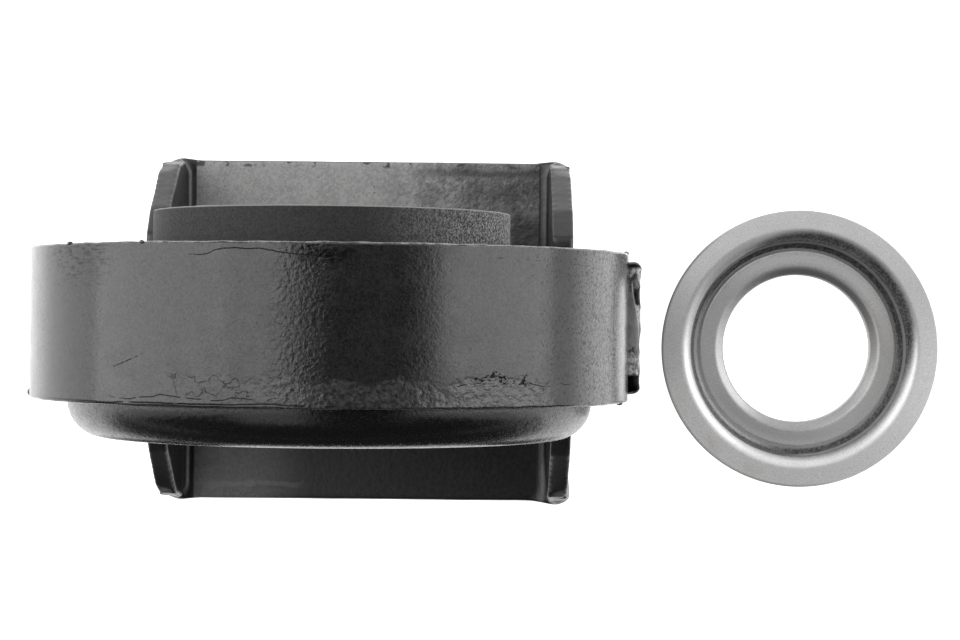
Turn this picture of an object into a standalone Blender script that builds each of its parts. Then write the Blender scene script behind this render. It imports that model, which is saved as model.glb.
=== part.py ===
"""Centre support of a drive shaft: a sealed ball bearing held by a rubber cushion in a steel
band, the band welded into a U-shaped bracket, and the loose dust ring that goes with it.

The bracket stands on its mounting face at z = 0. The bearing axis runs along Y, straight above
the origin, and the front, where the bearing sleeve stands out, faces +Y. All sizes in metres.
"""

import math

import bmesh
import bpy
from mathutils import Matrix, Vector

# Clearance between pieces that touch or are pressed together
fit_gap = 0.0003

# Steel band
band_radius = 0.0625
band_wall = 0.0040
band_width = 0.0310
band_chamfer = 0.0005
band_clearance = 0.0079

# Sealed deep-groove bearing
bearing_bore = 0.0350
bearing_outside = 0.0720
bearing_width = 0.0170
bearing_chamfer = 0.0010
ball_diameter = 0.0111
ball_count = 9
raceway_clearance = 0.0003
race_land_offset = 0.00445
seal_sheet = 0.0009
seal_inset = 0.0006
seal_step = 0.0014
seal_rise = 0.0005
cage_sheet = 0.0008
cage_width = 0.0043
cage_clearance = 0.0003

# Pressed sleeve that holds the bearing and shows as the collar in front of the band
sleeve_sheet = 0.0012
sleeve_reach = 0.0080
sleeve_mouth_depth = 0.0110
sleeve_lip_width = 0.0050
sleeve_corner = 0.0022
snap_bead_rise = 0.0012
snap_thickness = 0.0015
snap_width = 0.0027
snap_opening = 30.0
snap_eye = 0.0021
snap_lug = 0.0027
snap_lug_set_in = 0.0015
snap_lug_lead = 2.5

# Pressed shell, seated in the band, that carries the cushion and ends in the rounded rear dish
shell_sheet = 0.0016
shell_inset = 0.0025
shell_nose_step = 0.0034
shell_nose_reach = 0.0080
shell_corner = 0.0075
shell_face_width = 0.0035
shell_lip = 0.0030
shell_lip_bend = 0.0022

# Moulded rubber cushion, a half loop between the shell and the sleeve
rubber_wall = 0.0033
rubber_inset = 0.0015
rubber_loop_inset = 0.0115

# Bracket bent up from sheet
bracket_sheet = 0.0047
wall_inset = 0.0190
bracket_length = 0.0816
bracket_offset = 0.0040
bracket_shift = -0.0015
bracket_bend = 0.0012
horn_share = 0.536
horn_half_length = 0.0215
knee_half_length = 0.0280
knee_share = 0.640
wall_end_rise = 0.0055
saddle_side_gap = 0.0006
saddle_core = 0.0010
bolt_hole = 0.0125
bolt_spacing = 0.0500

# Weld beads
seam_weld_length = 0.0290
seam_weld_shift = -0.0004
seam_weld_rise = 0.0026
seam_weld_width = 0.0085
seam_weld_foot = 0.0002
seam_ripple = 0.10
seam_fine_ripple = 0.06
seam_side_ripple = 0.07
seam_end_height = 0.35
seam_end_width = 0.55
fillet_length = 0.0260
fillet_leg = 0.0048

# Loose dust ring, lying beside the support
dust_outside = 0.0664
dust_bore = 0.0355
dust_sheet = 0.0012
dust_height = 0.0095
dust_flange_droop = 0.0006
dust_flange_width = 0.0052
dust_wall_run = 0.0038
dust_crease_height = 0.0042
dust_neck_height = 0.0022
dust_rim_bend = 0.0016
dust_crease_bend = 0.0012
dust_neck_bend = 0.0016
dust_gap = 0.0123
dust_y = -0.0048

# Facets of the round pieces
round_steps = 48
inner_steps = 32
ball_steps = 12
ball_rings = 7
bend_facet = 0.0024
fine_facet = 0.0010
seam_stations = 20
seam_columns = 6
axis_mark_size = 0.0200

# Places that follow from the sizes
axis_height = bracket_sheet + band_clearance + band_radius
band_inner = band_radius - band_wall
band_front = band_width / 2
band_rear = -band_width / 2
bearing_radius = bearing_outside / 2
sleeve_inner = bearing_radius + fit_gap
sleeve_radius = sleeve_inner + sleeve_sheet
sleeve_front = band_front + sleeve_reach
bearing_front = sleeve_front - sleeve_mouth_depth
bearing_middle = bearing_front - bearing_width / 2
bearing_rear = bearing_front - bearing_width
sleeve_rear = bearing_rear - fit_gap - sleeve_sheet
ball_radius = ball_diameter / 2
pitch_radius = (bearing_bore + bearing_outside) / 4
outer_land = pitch_radius + race_land_offset
inner_land = pitch_radius - race_land_offset
shell_radius = band_inner - fit_gap
nose_radius = shell_radius - shell_nose_step
shell_rear = band_rear - shell_nose_reach
wall_inner = band_radius - wall_inset
wall_outer = wall_inner + bracket_sheet
dust_x = band_radius + dust_gap + dust_outside / 2


def clear_scene():
    """Start from an empty scene."""
    for item in list(bpy.data.objects):
        bpy.data.objects.remove(item)


def finish(name, color, roughness, metallic):
    """A Principled material, made once for each finish."""
    material = bpy.data.materials.get(name)
    if material is None:
        material = bpy.data.materials.new(name)
        material.use_nodes = True
        shader = material.node_tree.nodes["Principled BSDF"]
        shader.inputs["Base Color"].default_value = (*color, 1.0)
        shader.inputs["Roughness"].default_value = roughness
        shader.inputs["Metallic"].default_value = metallic
    return material


def gloss_black():
    return finish("gloss_black_paint", (0.018, 0.018, 0.019), 0.28, 0.0)


def rough_black():
    return finish("rough_black_paint", (0.022, 0.021, 0.020), 0.50, 0.0)


def weld_black():
    return finish("painted_weld", (0.016, 0.016, 0.016), 0.32, 0.0)


def black_rubber():
    return finish("black_rubber", (0.015, 0.015, 0.015), 0.70, 0.0)


def bearing_steel():
    return finish("bearing_steel", (0.60, 0.60, 0.61), 0.18, 1.0)


def spring_steel():
    return finish("spring_steel", (0.20, 0.20, 0.21), 0.40, 1.0)


def bare_steel():
    return finish("bare_pressed_steel", (0.52, 0.51, 0.49), 0.38, 1.0)


def seal_rubber():
    return finish("seal_rubber", (0.020, 0.018, 0.017), 0.60, 0.0)


def add_object(name, mesh_builder, material, parent=None, location=(0, 0, 0)):
    """Turn a bmesh into a named object with its material."""
    mesh = bpy.data.meshes.new(name)
    mesh_builder.to_mesh(mesh)
    mesh_builder.free()
    if material is not None:
        mesh.materials.append(material)
    item = bpy.data.objects.new(name, mesh)
    item.location = location
    item.parent = parent
    bpy.context.scene.collection.objects.link(item)
    return item


def shade(item, angle=30.0):
    """Smooth shading with sharp edges kept."""
    item.data.shade_smooth()
    item.data.set_sharp_from_angle(angle=math.radians(angle))


def make_cutter(item):
    """Mark an object as a guide that is not part of the product."""
    item.hide_render = True
    item.display_type = "WIRE"


def add_boolean(item, other, operation):
    """Combine an object with another by an exact Boolean."""
    modifier = item.modifiers.new(f"{operation.lower()}_{other.name}", "BOOLEAN")
    modifier.operation = operation
    modifier.object = other


def add_empty(name, location):
    """An axis or place that pieces are hung on."""
    item = bpy.data.objects.new(name, None)
    item.location = location
    item.empty_display_size = axis_mark_size
    bpy.context.scene.collection.objects.link(item)
    return item


def arc(center, radius, start, end, steps):
    """Points on an arc from start to end, in degrees."""
    points = []
    for index in range(steps + 1):
        angle = math.radians(start + (end - start) * index / steps)
        points.append((center[0] + radius * math.cos(angle), center[1] + radius * math.sin(angle)))
    return points


def rounded(points, radii, facet):
    """A path with each inner corner replaced by an arc of its radius, in steps of about a facet."""
    path = [points[0]]
    for before, corner, after, radius in zip(points, points[1:], points[2:], radii):
        corner_point = Vector(corner)
        back = (Vector(before) - corner_point).normalized()
        ahead = (Vector(after) - corner_point).normalized()
        turn = back.angle(ahead)
        if radius == 0.0 or turn > math.radians(179.0):
            path.append(corner)
            continue
        setback = radius / math.tan(turn / 2)
        center = corner_point + (back + ahead).normalized() * radius / math.sin(turn / 2)
        first = (corner_point + back * setback - center).normalized()
        last = (corner_point + ahead * setback - center).normalized()
        steps = math.ceil(radius * (math.pi - turn) / facet)
        for index in range(steps + 1):
            point = center + first.slerp(last, index / steps) * radius
            path.append((point.x, point.y))
    path.append(points[-1])
    return path


def offset_path(path, distance):
    """The path moved to its right by a distance, with mitred corners."""
    moved = []
    for index, point in enumerate(path):
        sides = []
        if index > 0:
            sides.append(Vector(point) - Vector(path[index - 1]))
        if index < len(path) - 1:
            sides.append(Vector(path[index + 1]) - Vector(point))
        normals = [Vector((side.y, -side.x)).normalized() for side in sides]
        middle = sum(normals, Vector((0.0, 0.0))).normalized()
        reach = distance / middle.dot(normals[0])
        moved.append((point[0] + middle.x * reach, point[1] + middle.y * reach))
    return moved


def sheet_section(path, thickness):
    """Closed outline of a bent sheet whose one face follows the path."""
    return path + offset_path(path, thickness)[::-1]


def turned(name, outline, material, steps, axis="Y", angle=360.0, start=0.0, **placing):
    """A closed outline of (radius, height) points turned about an axis."""
    builder = bmesh.new()
    spin_axis = Vector((0, 1, 0)) if axis == "Y" else Vector((0, 0, 1))
    verts = []
    for radius, height in outline:
        place = (radius, height, 0.0) if axis == "Y" else (radius, 0.0, height)
        verts.append(builder.verts.new(place))
    edges = [builder.edges.new((verts[i - 1], verts[i])) for i in range(len(verts))]
    turn = Matrix.Rotation(math.radians(start), 3, spin_axis)
    bmesh.ops.rotate(builder, verts=verts, cent=(0, 0, 0), matrix=turn)
    whole = abs(angle - 360.0) < 1e-6
    section = verts + edges
    if not whole:
        section = verts + edges + [builder.faces.new(verts)]
    bmesh.ops.spin(
        builder,
        geom=section,
        cent=(0, 0, 0),
        axis=spin_axis,
        steps=steps,
        angle=math.radians(angle),
        use_merge=whole,
    )
    bmesh.ops.remove_doubles(builder, verts=builder.verts, dist=1e-6)
    bmesh.ops.recalc_face_normals(builder, faces=builder.faces)
    item = add_object(name, builder, material, **placing)
    shade(item)
    return item


def extruded(name, outline, material, plane, low, high, **placing):
    """A closed outline in the XZ, YZ or XY plane, extruded from low to high across it."""
    places = {
        "XZ": lambda u, v, w: (u, w, v),
        "YZ": lambda u, v, w: (w, u, v),
        "XY": lambda u, v, w: (u, v, w),
    }
    builder = bmesh.new()
    near = [builder.verts.new(places[plane](u, v, low)) for u, v in outline]
    face = builder.faces.new(near)
    result = bmesh.ops.extrude_face_region(builder, geom=[face])
    far = [part for part in result["geom"] if isinstance(part, bmesh.types.BMVert)]
    step = Vector(places[plane](0.0, 0.0, high - low))
    bmesh.ops.translate(builder, verts=far, vec=step)
    bmesh.ops.recalc_face_normals(builder, faces=builder.faces)
    return add_object(name, builder, material, **placing)


def make_outer_band(axis):
    """The rolled steel band, with its edges just broken."""
    c = band_chamfer
    outline = [
        (band_inner + c, band_front),
        (band_radius - c, band_front),
        (band_radius, band_front - c),
        (band_radius, band_rear + c),
        (band_radius - c, band_rear),
        (band_inner + c, band_rear),
        (band_inner, band_rear + c),
        (band_inner, band_front - c),
    ]
    return turned("outer_band", outline, gloss_black(), round_steps, parent=axis)


def make_cushion_shell(axis):
    """The pressed shell: seat in the band, step in, rounded dish, and a lip round its mouth."""
    step_top = band_rear + shell_nose_step
    mouth = nose_radius - shell_corner - shell_face_width
    corners = [
        (shell_radius, band_front - shell_inset),
        (shell_radius, step_top),
        (nose_radius, band_rear),
        (nose_radius, shell_rear),
        (mouth, shell_rear),
        (mouth, shell_rear + shell_lip + shell_sheet),
    ]
    path = rounded(corners, (0.0, 0.0, shell_corner, shell_lip_bend), bend_facet)
    outline = sheet_section(path, shell_sheet)
    return turned("cushion_shell", outline, gloss_black(), round_steps, parent=axis)


def make_rubber_cushion(axis):
    """The cushion: two bonded walls joined by a half loop that opens to the front."""
    outer = shell_radius - shell_sheet - fit_gap
    inner = sleeve_radius + fit_gap
    top = band_front - shell_inset - rubber_inset
    bottom = band_rear + rubber_loop_inset
    middle = (outer + inner) / 2
    outer_loop = (outer - inner) / 2
    outline = [(outer, top), (outer, bottom)]
    outline += arc((middle, bottom), outer_loop, 0, -180, 8)[1:-1]
    outline += [(inner, bottom), (inner, top), (inner + rubber_wall, top)]
    outline += arc((middle, bottom), outer_loop - rubber_wall, 180, 360, 5)
    outline += [(outer - rubber_wall, top)]
    return turned("rubber_cushion", outline, black_rubber(), inner_steps, parent=axis)


def make_bearing_sleeve(axis):
    """The sleeve: open collar in front, a rolled bead for the snap ring, a lip behind the bearing."""
    bead = sleeve_radius + snap_bead_rise
    bead_front = bearing_front + snap_thickness + 3 * fit_gap + sleeve_sheet
    bead_rear = bearing_front + fit_gap - sleeve_sheet
    corners = [
        (sleeve_radius, sleeve_front),
        (sleeve_radius, bead_front),
        (bead, bead_front - snap_bead_rise / 2),
        (bead, bead_rear + snap_bead_rise / 2),
        (sleeve_radius, bead_rear),
        (sleeve_radius, sleeve_rear),
        (sleeve_inner - sleeve_lip_width, sleeve_rear),
    ]
    path = rounded(corners, (0.0, 0.0, 0.0, 0.0, sleeve_corner), bend_facet)
    outline = sheet_section(path, sleeve_sheet)
    return turned("bearing_sleeve", outline, rough_black(), round_steps, parent=axis)


def make_snap_ring(axis):
    """The open snap ring in front of the bearing, with an eye at each end."""
    outer = sleeve_inner + snap_bead_rise - fit_gap
    rear = bearing_front + fit_gap
    front = rear + snap_thickness
    inner = outer - snap_width
    outline = [(outer, rear), (outer, front), (inner, front), (inner, rear)]
    turn = 360.0 - snap_opening
    ring = turned(
        "snap_ring",
        outline,
        spring_steel(),
        36,
        angle=turn,
        start=90.0 + snap_opening / 2 - 180.0,
        parent=axis,
    )
    eye_radius = inner - snap_lug_set_in
    for name, side in (("left", -1), ("right", 1)):
        angle = math.radians(90.0 + side * (snap_opening / 2 + snap_lug_lead))
        place = (eye_radius * math.cos(angle), eye_radius * math.sin(angle))
        lug = extruded(
            f"snap_lug_{name}",
            arc(place, snap_lug, 0, 330, 11),
            None,
            "XZ",
            rear,
            front,
            parent=axis,
        )
        eye = extruded(
            f"snap_eye_{name}",
            arc(place, snap_eye / 2, 0, 315, 7),
            None,
            "XZ",
            rear - snap_thickness,
            front + snap_thickness,
            parent=axis,
        )
        make_cutter(lug)
        make_cutter(eye)
        add_boolean(ring, lug, "UNION")
        add_boolean(ring, eye, "DIFFERENCE")
    return ring


def raceway(radius_side, steps):
    """Points across a ball groove, from front to rear, on the outer (+1) or inner (-1) race."""
    groove = ball_radius + raceway_clearance
    reach = math.degrees(math.acos(race_land_offset / groove))
    middle = 0.0 if radius_side > 0 else 180.0
    start = middle + radius_side * reach
    end = middle - radius_side * reach
    return arc((pitch_radius, bearing_middle), groove, start, end, steps)


def make_outer_race(axis):
    """The fixed race, with a step at each side for its seal."""
    recess = outer_land + seal_step
    step = seal_inset + seal_sheet + fit_gap
    c = bearing_chamfer
    outline = [
        (bearing_radius - c, bearing_front),
        (recess, bearing_front),
        (recess, bearing_front - step),
        (outer_land, bearing_front - step),
    ]
    outline += raceway(1, 5)
    outline += [
        (outer_land, bearing_rear + step),
        (recess, bearing_rear + step),
        (recess, bearing_rear),
        (bearing_radius - c, bearing_rear),
        (bearing_radius, bearing_rear + c),
        (bearing_radius, bearing_front - c),
    ]
    return turned("outer_race", outline, bearing_steel(), inner_steps, parent=axis)


def make_inner_race(axis):
    """The race that turns with the shaft."""
    bore = bearing_bore / 2
    c = bearing_chamfer
    outline = [(bore + c, bearing_front), (inner_land, bearing_front)]
    outline += raceway(-1, 5)
    outline += [
        (inner_land, bearing_rear),
        (bore + c, bearing_rear),
        (bore, bearing_rear + c),
        (bore, bearing_front - c),
    ]
    return turned("inner_race", outline, bearing_steel(), inner_steps, parent=axis)


def make_balls(axis):
    """The balls, evenly spaced on the pitch circle."""
    builder = bmesh.new()
    bmesh.ops.create_uvsphere(
        builder, u_segments=ball_steps, v_segments=ball_rings, radius=ball_radius
    )
    first = add_object("ball_1", builder, bearing_steel(), parent=axis)
    shade(first, 60.0)
    balls = [first]
    for number in range(2, ball_count + 1):
        ball = bpy.data.objects.new(f"ball_{number}", first.data)
        ball.parent = axis
        bpy.context.scene.collection.objects.link(ball)
        balls.append(ball)
    for index, ball in enumerate(balls):
        angle = 2 * math.pi * index / ball_count
        ball.location = (
            pitch_radius * math.cos(angle),
            bearing_middle,
            pitch_radius * math.sin(angle),
        )
    return balls


def cage_stations(pocket):
    """Angle round the cage and rise of its inner and outer face, over one ball's share."""
    share = 2 * math.pi / ball_count
    stations = []
    for degrees in (-66, -33, 0, 33, 66):
        lean = math.radians(degrees)
        turn = pocket * math.sin(lean) / pitch_radius
        stations.append((turn, pocket * math.cos(lean), (pocket + cage_sheet) * math.cos(lean)))
    foot = (pocket + cage_sheet) / pitch_radius
    seam = fit_gap / 2
    stations.append((foot, seam, seam + cage_sheet))
    stations.append((share - foot, seam, seam + cage_sheet))
    return stations


def make_cage(name, side, axis):
    """One half of the pressed ribbon cage, bulged round each ball."""
    inner = pitch_radius - cage_width / 2
    outer = pitch_radius + cage_width / 2
    pocket = ball_radius + cage_clearance
    share = 2 * math.pi / ball_count
    builder = bmesh.new()
    rings = []
    for number in range(ball_count):
        for turn, low, high in cage_stations(pocket):
            angle = number * share + turn
            ring = []
            for radius, rise in ((inner, low), (outer, low), (outer, high), (inner, high)):
                place = (radius * math.cos(angle), side * rise, radius * math.sin(angle))
                ring.append(builder.verts.new(place))
            rings.append(ring)
    for index, ring in enumerate(rings):
        before = rings[index - 1]
        for corner in range(4):
            builder.faces.new((before[corner - 1], before[corner], ring[corner], ring[corner - 1]))
    bmesh.ops.recalc_face_normals(builder, faces=builder.faces)
    cage = add_object(name, builder, spring_steel(), parent=axis, location=(0, bearing_middle, 0))
    shade(cage)
    return cage


def make_seal(name, side, axis):
    """A pressed seal between the races, raised in the middle."""
    outer = outer_land + seal_step - fit_gap
    inner = inner_land + fit_gap
    half = bearing_width / 2
    edge = half - seal_inset
    path = [
        (outer, edge),
        (outer_land - seal_step / 2, edge),
        (outer_land - seal_step, edge + seal_rise),
        (inner_land + seal_step, edge + seal_rise),
        (inner, edge),
    ]
    outline = [(radius, side * rise) for radius, rise in sheet_section(path, -seal_sheet)]
    place = (0, bearing_middle, 0)
    return turned(name, outline, seal_rubber(), inner_steps, parent=axis, location=place)


def saddle_cutter(axis):
    """Room for the band, and for the dish behind it, in the walls of the bracket."""
    room = band_radius + fit_gap
    nose_room = nose_radius + 2 * fit_gap
    side = band_width / 2 + saddle_side_gap
    low = shell_rear - fit_gap - saddle_side_gap
    outline = [(saddle_core, side), (room, side), (room, -side), (nose_room, -side)]
    outline += [(nose_room, 2 * low), (saddle_core, 2 * low)]
    cutter = turned("saddle_cutter", outline, None, 2 * round_steps, parent=axis)
    make_cutter(cutter)
    return cutter


def make_bracket(axis):
    """The U-shaped bracket: sheet bent up at both sides, walls coped round the band."""
    inside = wall_inner
    outside = wall_outer
    horn_top = axis_height - horn_share * band_radius
    knee = axis_height - knee_share * band_radius
    bend = bracket_bend
    outer_bend = bracket_bend + bracket_sheet
    section = [
        (-outside, axis_height),
        (-outside, outer_bend),
    ]
    section += arc((-outside + outer_bend, outer_bend), outer_bend, 180, 270, 5)[1:]
    section += arc((outside - outer_bend, outer_bend), outer_bend, 270, 360, 5)
    section += [(outside, axis_height), (inside, axis_height)]
    floor = bracket_sheet + bend
    section += arc((inside - bend, floor), bend, 0, -90, 3)
    section += arc((-inside + bend, floor), bend, -90, -180, 3)
    section += [(-inside, axis_height)]
    half = bracket_length / 2
    bracket = extruded(
        "bracket",
        section,
        gloss_black(),
        "XZ",
        -half,
        half,
        location=(bracket_offset, bracket_shift, 0),
    )
    end = bracket_sheet + wall_end_rise
    side = [
        (-2 * half, -bracket_sheet),
        (2 * half, -bracket_sheet),
        (2 * half, end),
        (half, end),
        (knee_half_length, knee),
        (horn_half_length, horn_top),
        (-horn_half_length, horn_top),
        (-knee_half_length, knee),
        (-half, end),
        (-2 * half, end),
    ]
    outline = extruded(
        "side_outline",
        side,
        None,
        "YZ",
        -2 * outside,
        2 * outside,
        location=(bracket_offset, bracket_shift, 0),
    )
    make_cutter(outline)
    add_boolean(bracket, outline, "INTERSECT")
    add_boolean(bracket, saddle_cutter(axis), "DIFFERENCE")
    for name, place in (("left", -bolt_spacing / 2), ("right", bolt_spacing / 2)):
        hole = extruded(
            f"bolt_hole_{name}",
            arc((0, 0), bolt_hole / 2, 0, 345, 23),
            None,
            "XY",
            -bracket_sheet,
            2 * bracket_sheet,
            location=(bracket_offset + place, 0, 0),
        )
        make_cutter(hole)
        add_boolean(bracket, hole, "DIFFERENCE")
    shade(bracket)
    return bracket


def make_fillet_weld(name, side):
    """The bead in the corner between a bracket wall and the band."""
    wall = side * (wall_outer + fit_gap) + bracket_offset
    room = band_radius + 2 * fit_gap
    reach = wall + side * fillet_leg
    corner = axis_height - math.sqrt(room**2 - wall**2)
    steps = 4
    curve = []
    for index in range(steps + 1):
        x = wall + (reach - wall) * index / steps
        curve.append((x, axis_height - math.sqrt(room**2 - x**2)))
    outline = curve + [(wall, corner - fillet_leg)]
    bead = extruded(name, outline, weld_black(), "XZ", -fillet_length / 2, fillet_length / 2)
    return bead


def seam_station(station, body):
    """Height and half width of the bead at a station; body falls from 1 to 0 at the ends."""
    ripple = seam_ripple * math.sin(station * 1.9) + seam_fine_ripple * math.sin(station * 4.3 + 1.0)
    ripple = (1.0 + ripple) / (1.0 + seam_ripple + seam_fine_ripple)
    rise = (seam_weld_rise - seam_weld_foot) * ripple
    rise *= seam_end_height + (1.0 - seam_end_height) * body
    width = seam_weld_width / 2 * (seam_end_width + (1.0 - seam_end_width) * body)
    width *= 1.0 + seam_side_ripple * math.sin(station * 2.7)
    return rise, width


def make_seam_weld(axis):
    """The rippled bead that closes the band, on its right-hand side."""
    base = band_radius + fit_gap
    half = seam_weld_length / 2
    builder = bmesh.new()
    rings = []
    for station in range(seam_stations + 1):
        along = -1.0 + 2.0 * station / seam_stations
        rise, width = seam_station(station, 1.0 - along**8)
        ring = []
        for index in range(seam_columns + 1):
            share = -1.0 + 2.0 * index / seam_columns
            height = base + seam_weld_foot + rise * (1.0 - share**2)
            ring.append((height, width * share / base))
        for share in (1.0, 0.0, -1.0):
            ring.append((base, width * share / base))
        place = seam_weld_shift + along * half
        rings.append([
            builder.verts.new((radius * math.cos(angle), place, radius * math.sin(angle)))
            for radius, angle in ring
        ])
    for before, ring in zip(rings, rings[1:]):
        for corner in range(len(ring)):
            builder.faces.new((before[corner - 1], before[corner], ring[corner], ring[corner - 1]))
    builder.faces.new(rings[0])
    builder.faces.new(rings[-1])
    bmesh.ops.triangulate(builder, faces=builder.faces)
    bmesh.ops.recalc_face_normals(builder, faces=builder.faces)
    bead = add_object("band_seam_weld", builder, weld_black(), parent=axis)
    shade(bead, 50.0)
    return bead


def make_dust_ring():
    """The pressed dust ring: flange, steep wall, sloping inner annulus and turned-down bore lip."""
    rim = dust_outside / 2
    flange_inner = rim - dust_flange_width
    crease = flange_inner - dust_wall_run
    bore = dust_bore / 2
    corners = [
        (rim, dust_height - dust_flange_droop),
        (flange_inner, dust_height),
        (crease, dust_crease_height),
        (bore, dust_neck_height),
        (bore, 0.0),
    ]
    path = rounded(corners, (dust_rim_bend, dust_crease_bend, dust_neck_bend), fine_facet)
    outline = sheet_section(path, -dust_sheet)
    place = (dust_x, dust_y, 0)
    return turned("dust_ring", outline, bare_steel(), round_steps, axis="Z", location=place)


def main():
    clear_scene()
    axis = add_empty("bearing_axis", (0, 0, axis_height))
    make_outer_band(axis)
    make_cushion_shell(axis)
    make_rubber_cushion(axis)
    make_bearing_sleeve(axis)
    make_snap_ring(axis)
    make_outer_race(axis)
    make_inner_race(axis)
    make_balls(axis)
    make_cage("cage_front", 1, axis)
    make_cage("cage_rear", -1, axis)
    make_seal("seal_front", 1, axis)
    make_seal("seal_rear", -1, axis)
    make_bracket(axis)
    make_fillet_weld("bracket_weld_left", -1)
    make_fillet_weld("bracket_weld_right", 1)
    make_seam_weld(axis)
    make_dust_ring()


main()
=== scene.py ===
# %% [markdown]
# # A drive shaft support and its dust ring
#
# The real object is a centre support for a vehicle's drive shaft. A sealed ball bearing sits in
# a pressed sleeve, the sleeve hangs in a rubber cushion, the cushion sits in a pressed shell, and
# the shell sits in a rolled steel band that is welded into a U-shaped bracket. All of that has
# been painted black. A bare pressed dust ring lies beside it.
#
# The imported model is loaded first. It fixes every place and size, so each finer piece made here
# is drawn in the same frame and only adds what a solid for calculation leaves out.

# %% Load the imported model
import math

import bmesh
import bpy
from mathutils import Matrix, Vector


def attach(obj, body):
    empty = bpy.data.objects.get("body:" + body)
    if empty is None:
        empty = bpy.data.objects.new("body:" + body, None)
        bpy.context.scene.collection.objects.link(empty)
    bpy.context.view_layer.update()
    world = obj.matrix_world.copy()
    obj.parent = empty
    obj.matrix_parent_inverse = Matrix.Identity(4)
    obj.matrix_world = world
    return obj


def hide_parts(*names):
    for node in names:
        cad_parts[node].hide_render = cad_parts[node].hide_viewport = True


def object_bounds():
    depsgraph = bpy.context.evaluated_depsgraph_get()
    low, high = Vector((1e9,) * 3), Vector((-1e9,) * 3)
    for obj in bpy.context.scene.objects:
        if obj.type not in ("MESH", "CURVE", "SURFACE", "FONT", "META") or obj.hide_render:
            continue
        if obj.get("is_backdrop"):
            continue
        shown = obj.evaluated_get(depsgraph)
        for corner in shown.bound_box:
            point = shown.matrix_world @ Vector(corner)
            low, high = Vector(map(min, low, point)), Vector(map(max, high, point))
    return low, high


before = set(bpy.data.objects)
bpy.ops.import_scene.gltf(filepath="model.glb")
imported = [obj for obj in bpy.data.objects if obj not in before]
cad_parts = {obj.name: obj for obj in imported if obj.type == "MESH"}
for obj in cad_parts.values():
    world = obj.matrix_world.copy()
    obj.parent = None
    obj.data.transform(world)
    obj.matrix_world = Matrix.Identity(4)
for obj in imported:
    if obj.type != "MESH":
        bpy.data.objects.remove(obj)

cad_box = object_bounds()
print("box to stay inside:", [[round(value * 1000, 2) for value in corner] for corner in cad_box])

# %% [markdown]
# ## Camera
#
# The photograph was taken from straight above, with a lens of middling length about 0.43 m over
# the band. The near faces therefore look a little larger than the bracket below them, and that
# difference is what the height of the camera is read from.

# %% Camera
camera_height = 0.5650
camera_data = bpy.data.cameras.new("copy_stand_camera")
camera_data.sensor_width = 36.0
camera_data.lens = 87.04
camera_data.clip_start = 0.01
camera = bpy.data.objects.new("copy_stand_camera", camera_data)
camera.location = (0.0313, 0.0013, camera_height)
camera.rotation_euler = (0.0, 0.0, math.radians(0.575))
bpy.context.scene.collection.objects.link(camera)
bpy.context.scene.camera = camera
bpy.context.scene.view_settings.view_transform = "Standard"
print("camera height over the band:", round(camera_height - 0.1376, 3))

# %% [markdown]
# ## Shader helpers
#
# Materials are wired from a few kinds of node again and again. Two small helpers keep each
# material short: one adds a node and sets its values, and one adds a Math node from its inputs.


# %% Shader helpers
def add_node(tree, kind, inputs=None, **settings):
    """Add a shader node; inputs maps a socket to a value or to another node's output."""
    node = tree.nodes.new(kind)
    for key, value in settings.items():
        setattr(node, key, value)
    for key, value in (inputs or {}).items():
        if isinstance(value, bpy.types.NodeSocket):
            tree.links.new(value, node.inputs[key])
        else:
            node.inputs[key].default_value = value
    return node


def calc(tree, operation, *values, clamp=False):
    """A Math node, giving its output."""
    inputs = dict(enumerate(values))
    return add_node(tree, "ShaderNodeMath", inputs, operation=operation, use_clamp=clamp).outputs[0]


def ramp(tree, value, low, high, to_low=0.0, to_high=1.0):
    """A smooth step from low to high."""
    inputs = {"Value": value, "From Min": low, "From Max": high, "To Min": to_low, "To Max": to_high}
    kind = "ShaderNodeMapRange"
    return add_node(tree, kind, inputs, interpolation_type="SMOOTHSTEP").outputs["Result"]


def new_group(name, inputs, outputs):
    """A shader node group with float sockets; gives the tree, its inputs and its output node."""
    group = bpy.data.node_groups.new(name, "ShaderNodeTree")
    for socket, default in inputs.items():
        made = group.interface.new_socket(socket, in_out="INPUT", socket_type="NodeSocketFloat")
        made.default_value = default
    for socket in outputs:
        group.interface.new_socket(socket, in_out="OUTPUT", socket_type="NodeSocketFloat")
    source = group.nodes.new("NodeGroupInput")
    target = group.nodes.new("NodeGroupOutput")
    return group, source.outputs, target


def place_group(tree, name, **values):
    """Put a node group into a material with its own values; gives its outputs."""
    node = tree.nodes.new("ShaderNodeGroup")
    node.node_tree = bpy.data.node_groups[name]
    for key, value in values.items():
        socket = node.inputs[key.replace("_", " ").capitalize()]
        if isinstance(value, bpy.types.NodeSocket):
            tree.links.new(value, socket)
        else:
            socket.default_value = value
    return node.outputs


def new_material(name, color, roughness, metallic=0.0):
    """A material with a Principled shader; gives the material, its tree and the shader."""
    material = bpy.data.materials.new(name)
    material.use_nodes = True
    tree = material.node_tree
    shader = tree.nodes["Principled BSDF"]
    shader.inputs["Base Color"].default_value = (*color, 1.0)
    shader.inputs["Roughness"].default_value = roughness
    shader.inputs["Metallic"].default_value = metallic
    return material, tree, shader


def tint(tree, share, color, other):
    """Mix a color towards another one by a share; each may also be an output."""
    inputs = {0: share}
    for key, value in ((6, color), (7, other)):
        inputs[key] = (*value, 1.0) if isinstance(value, tuple) else value
    return add_node(tree, "ShaderNodeMix", inputs, data_type="RGBA").outputs[2]


def connect_bump(tree, shader, height, distance):
    """Feed a height from 0 to 1 to the shader as a bump of this depth in metres."""
    bump = add_node(tree, "ShaderNodeBump", {"Height": height, "Strength": 1.0, "Distance": distance})
    tree.links.new(bump.outputs["Normal"], shader.inputs["Normal"])


print("shader helpers ready")

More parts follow.
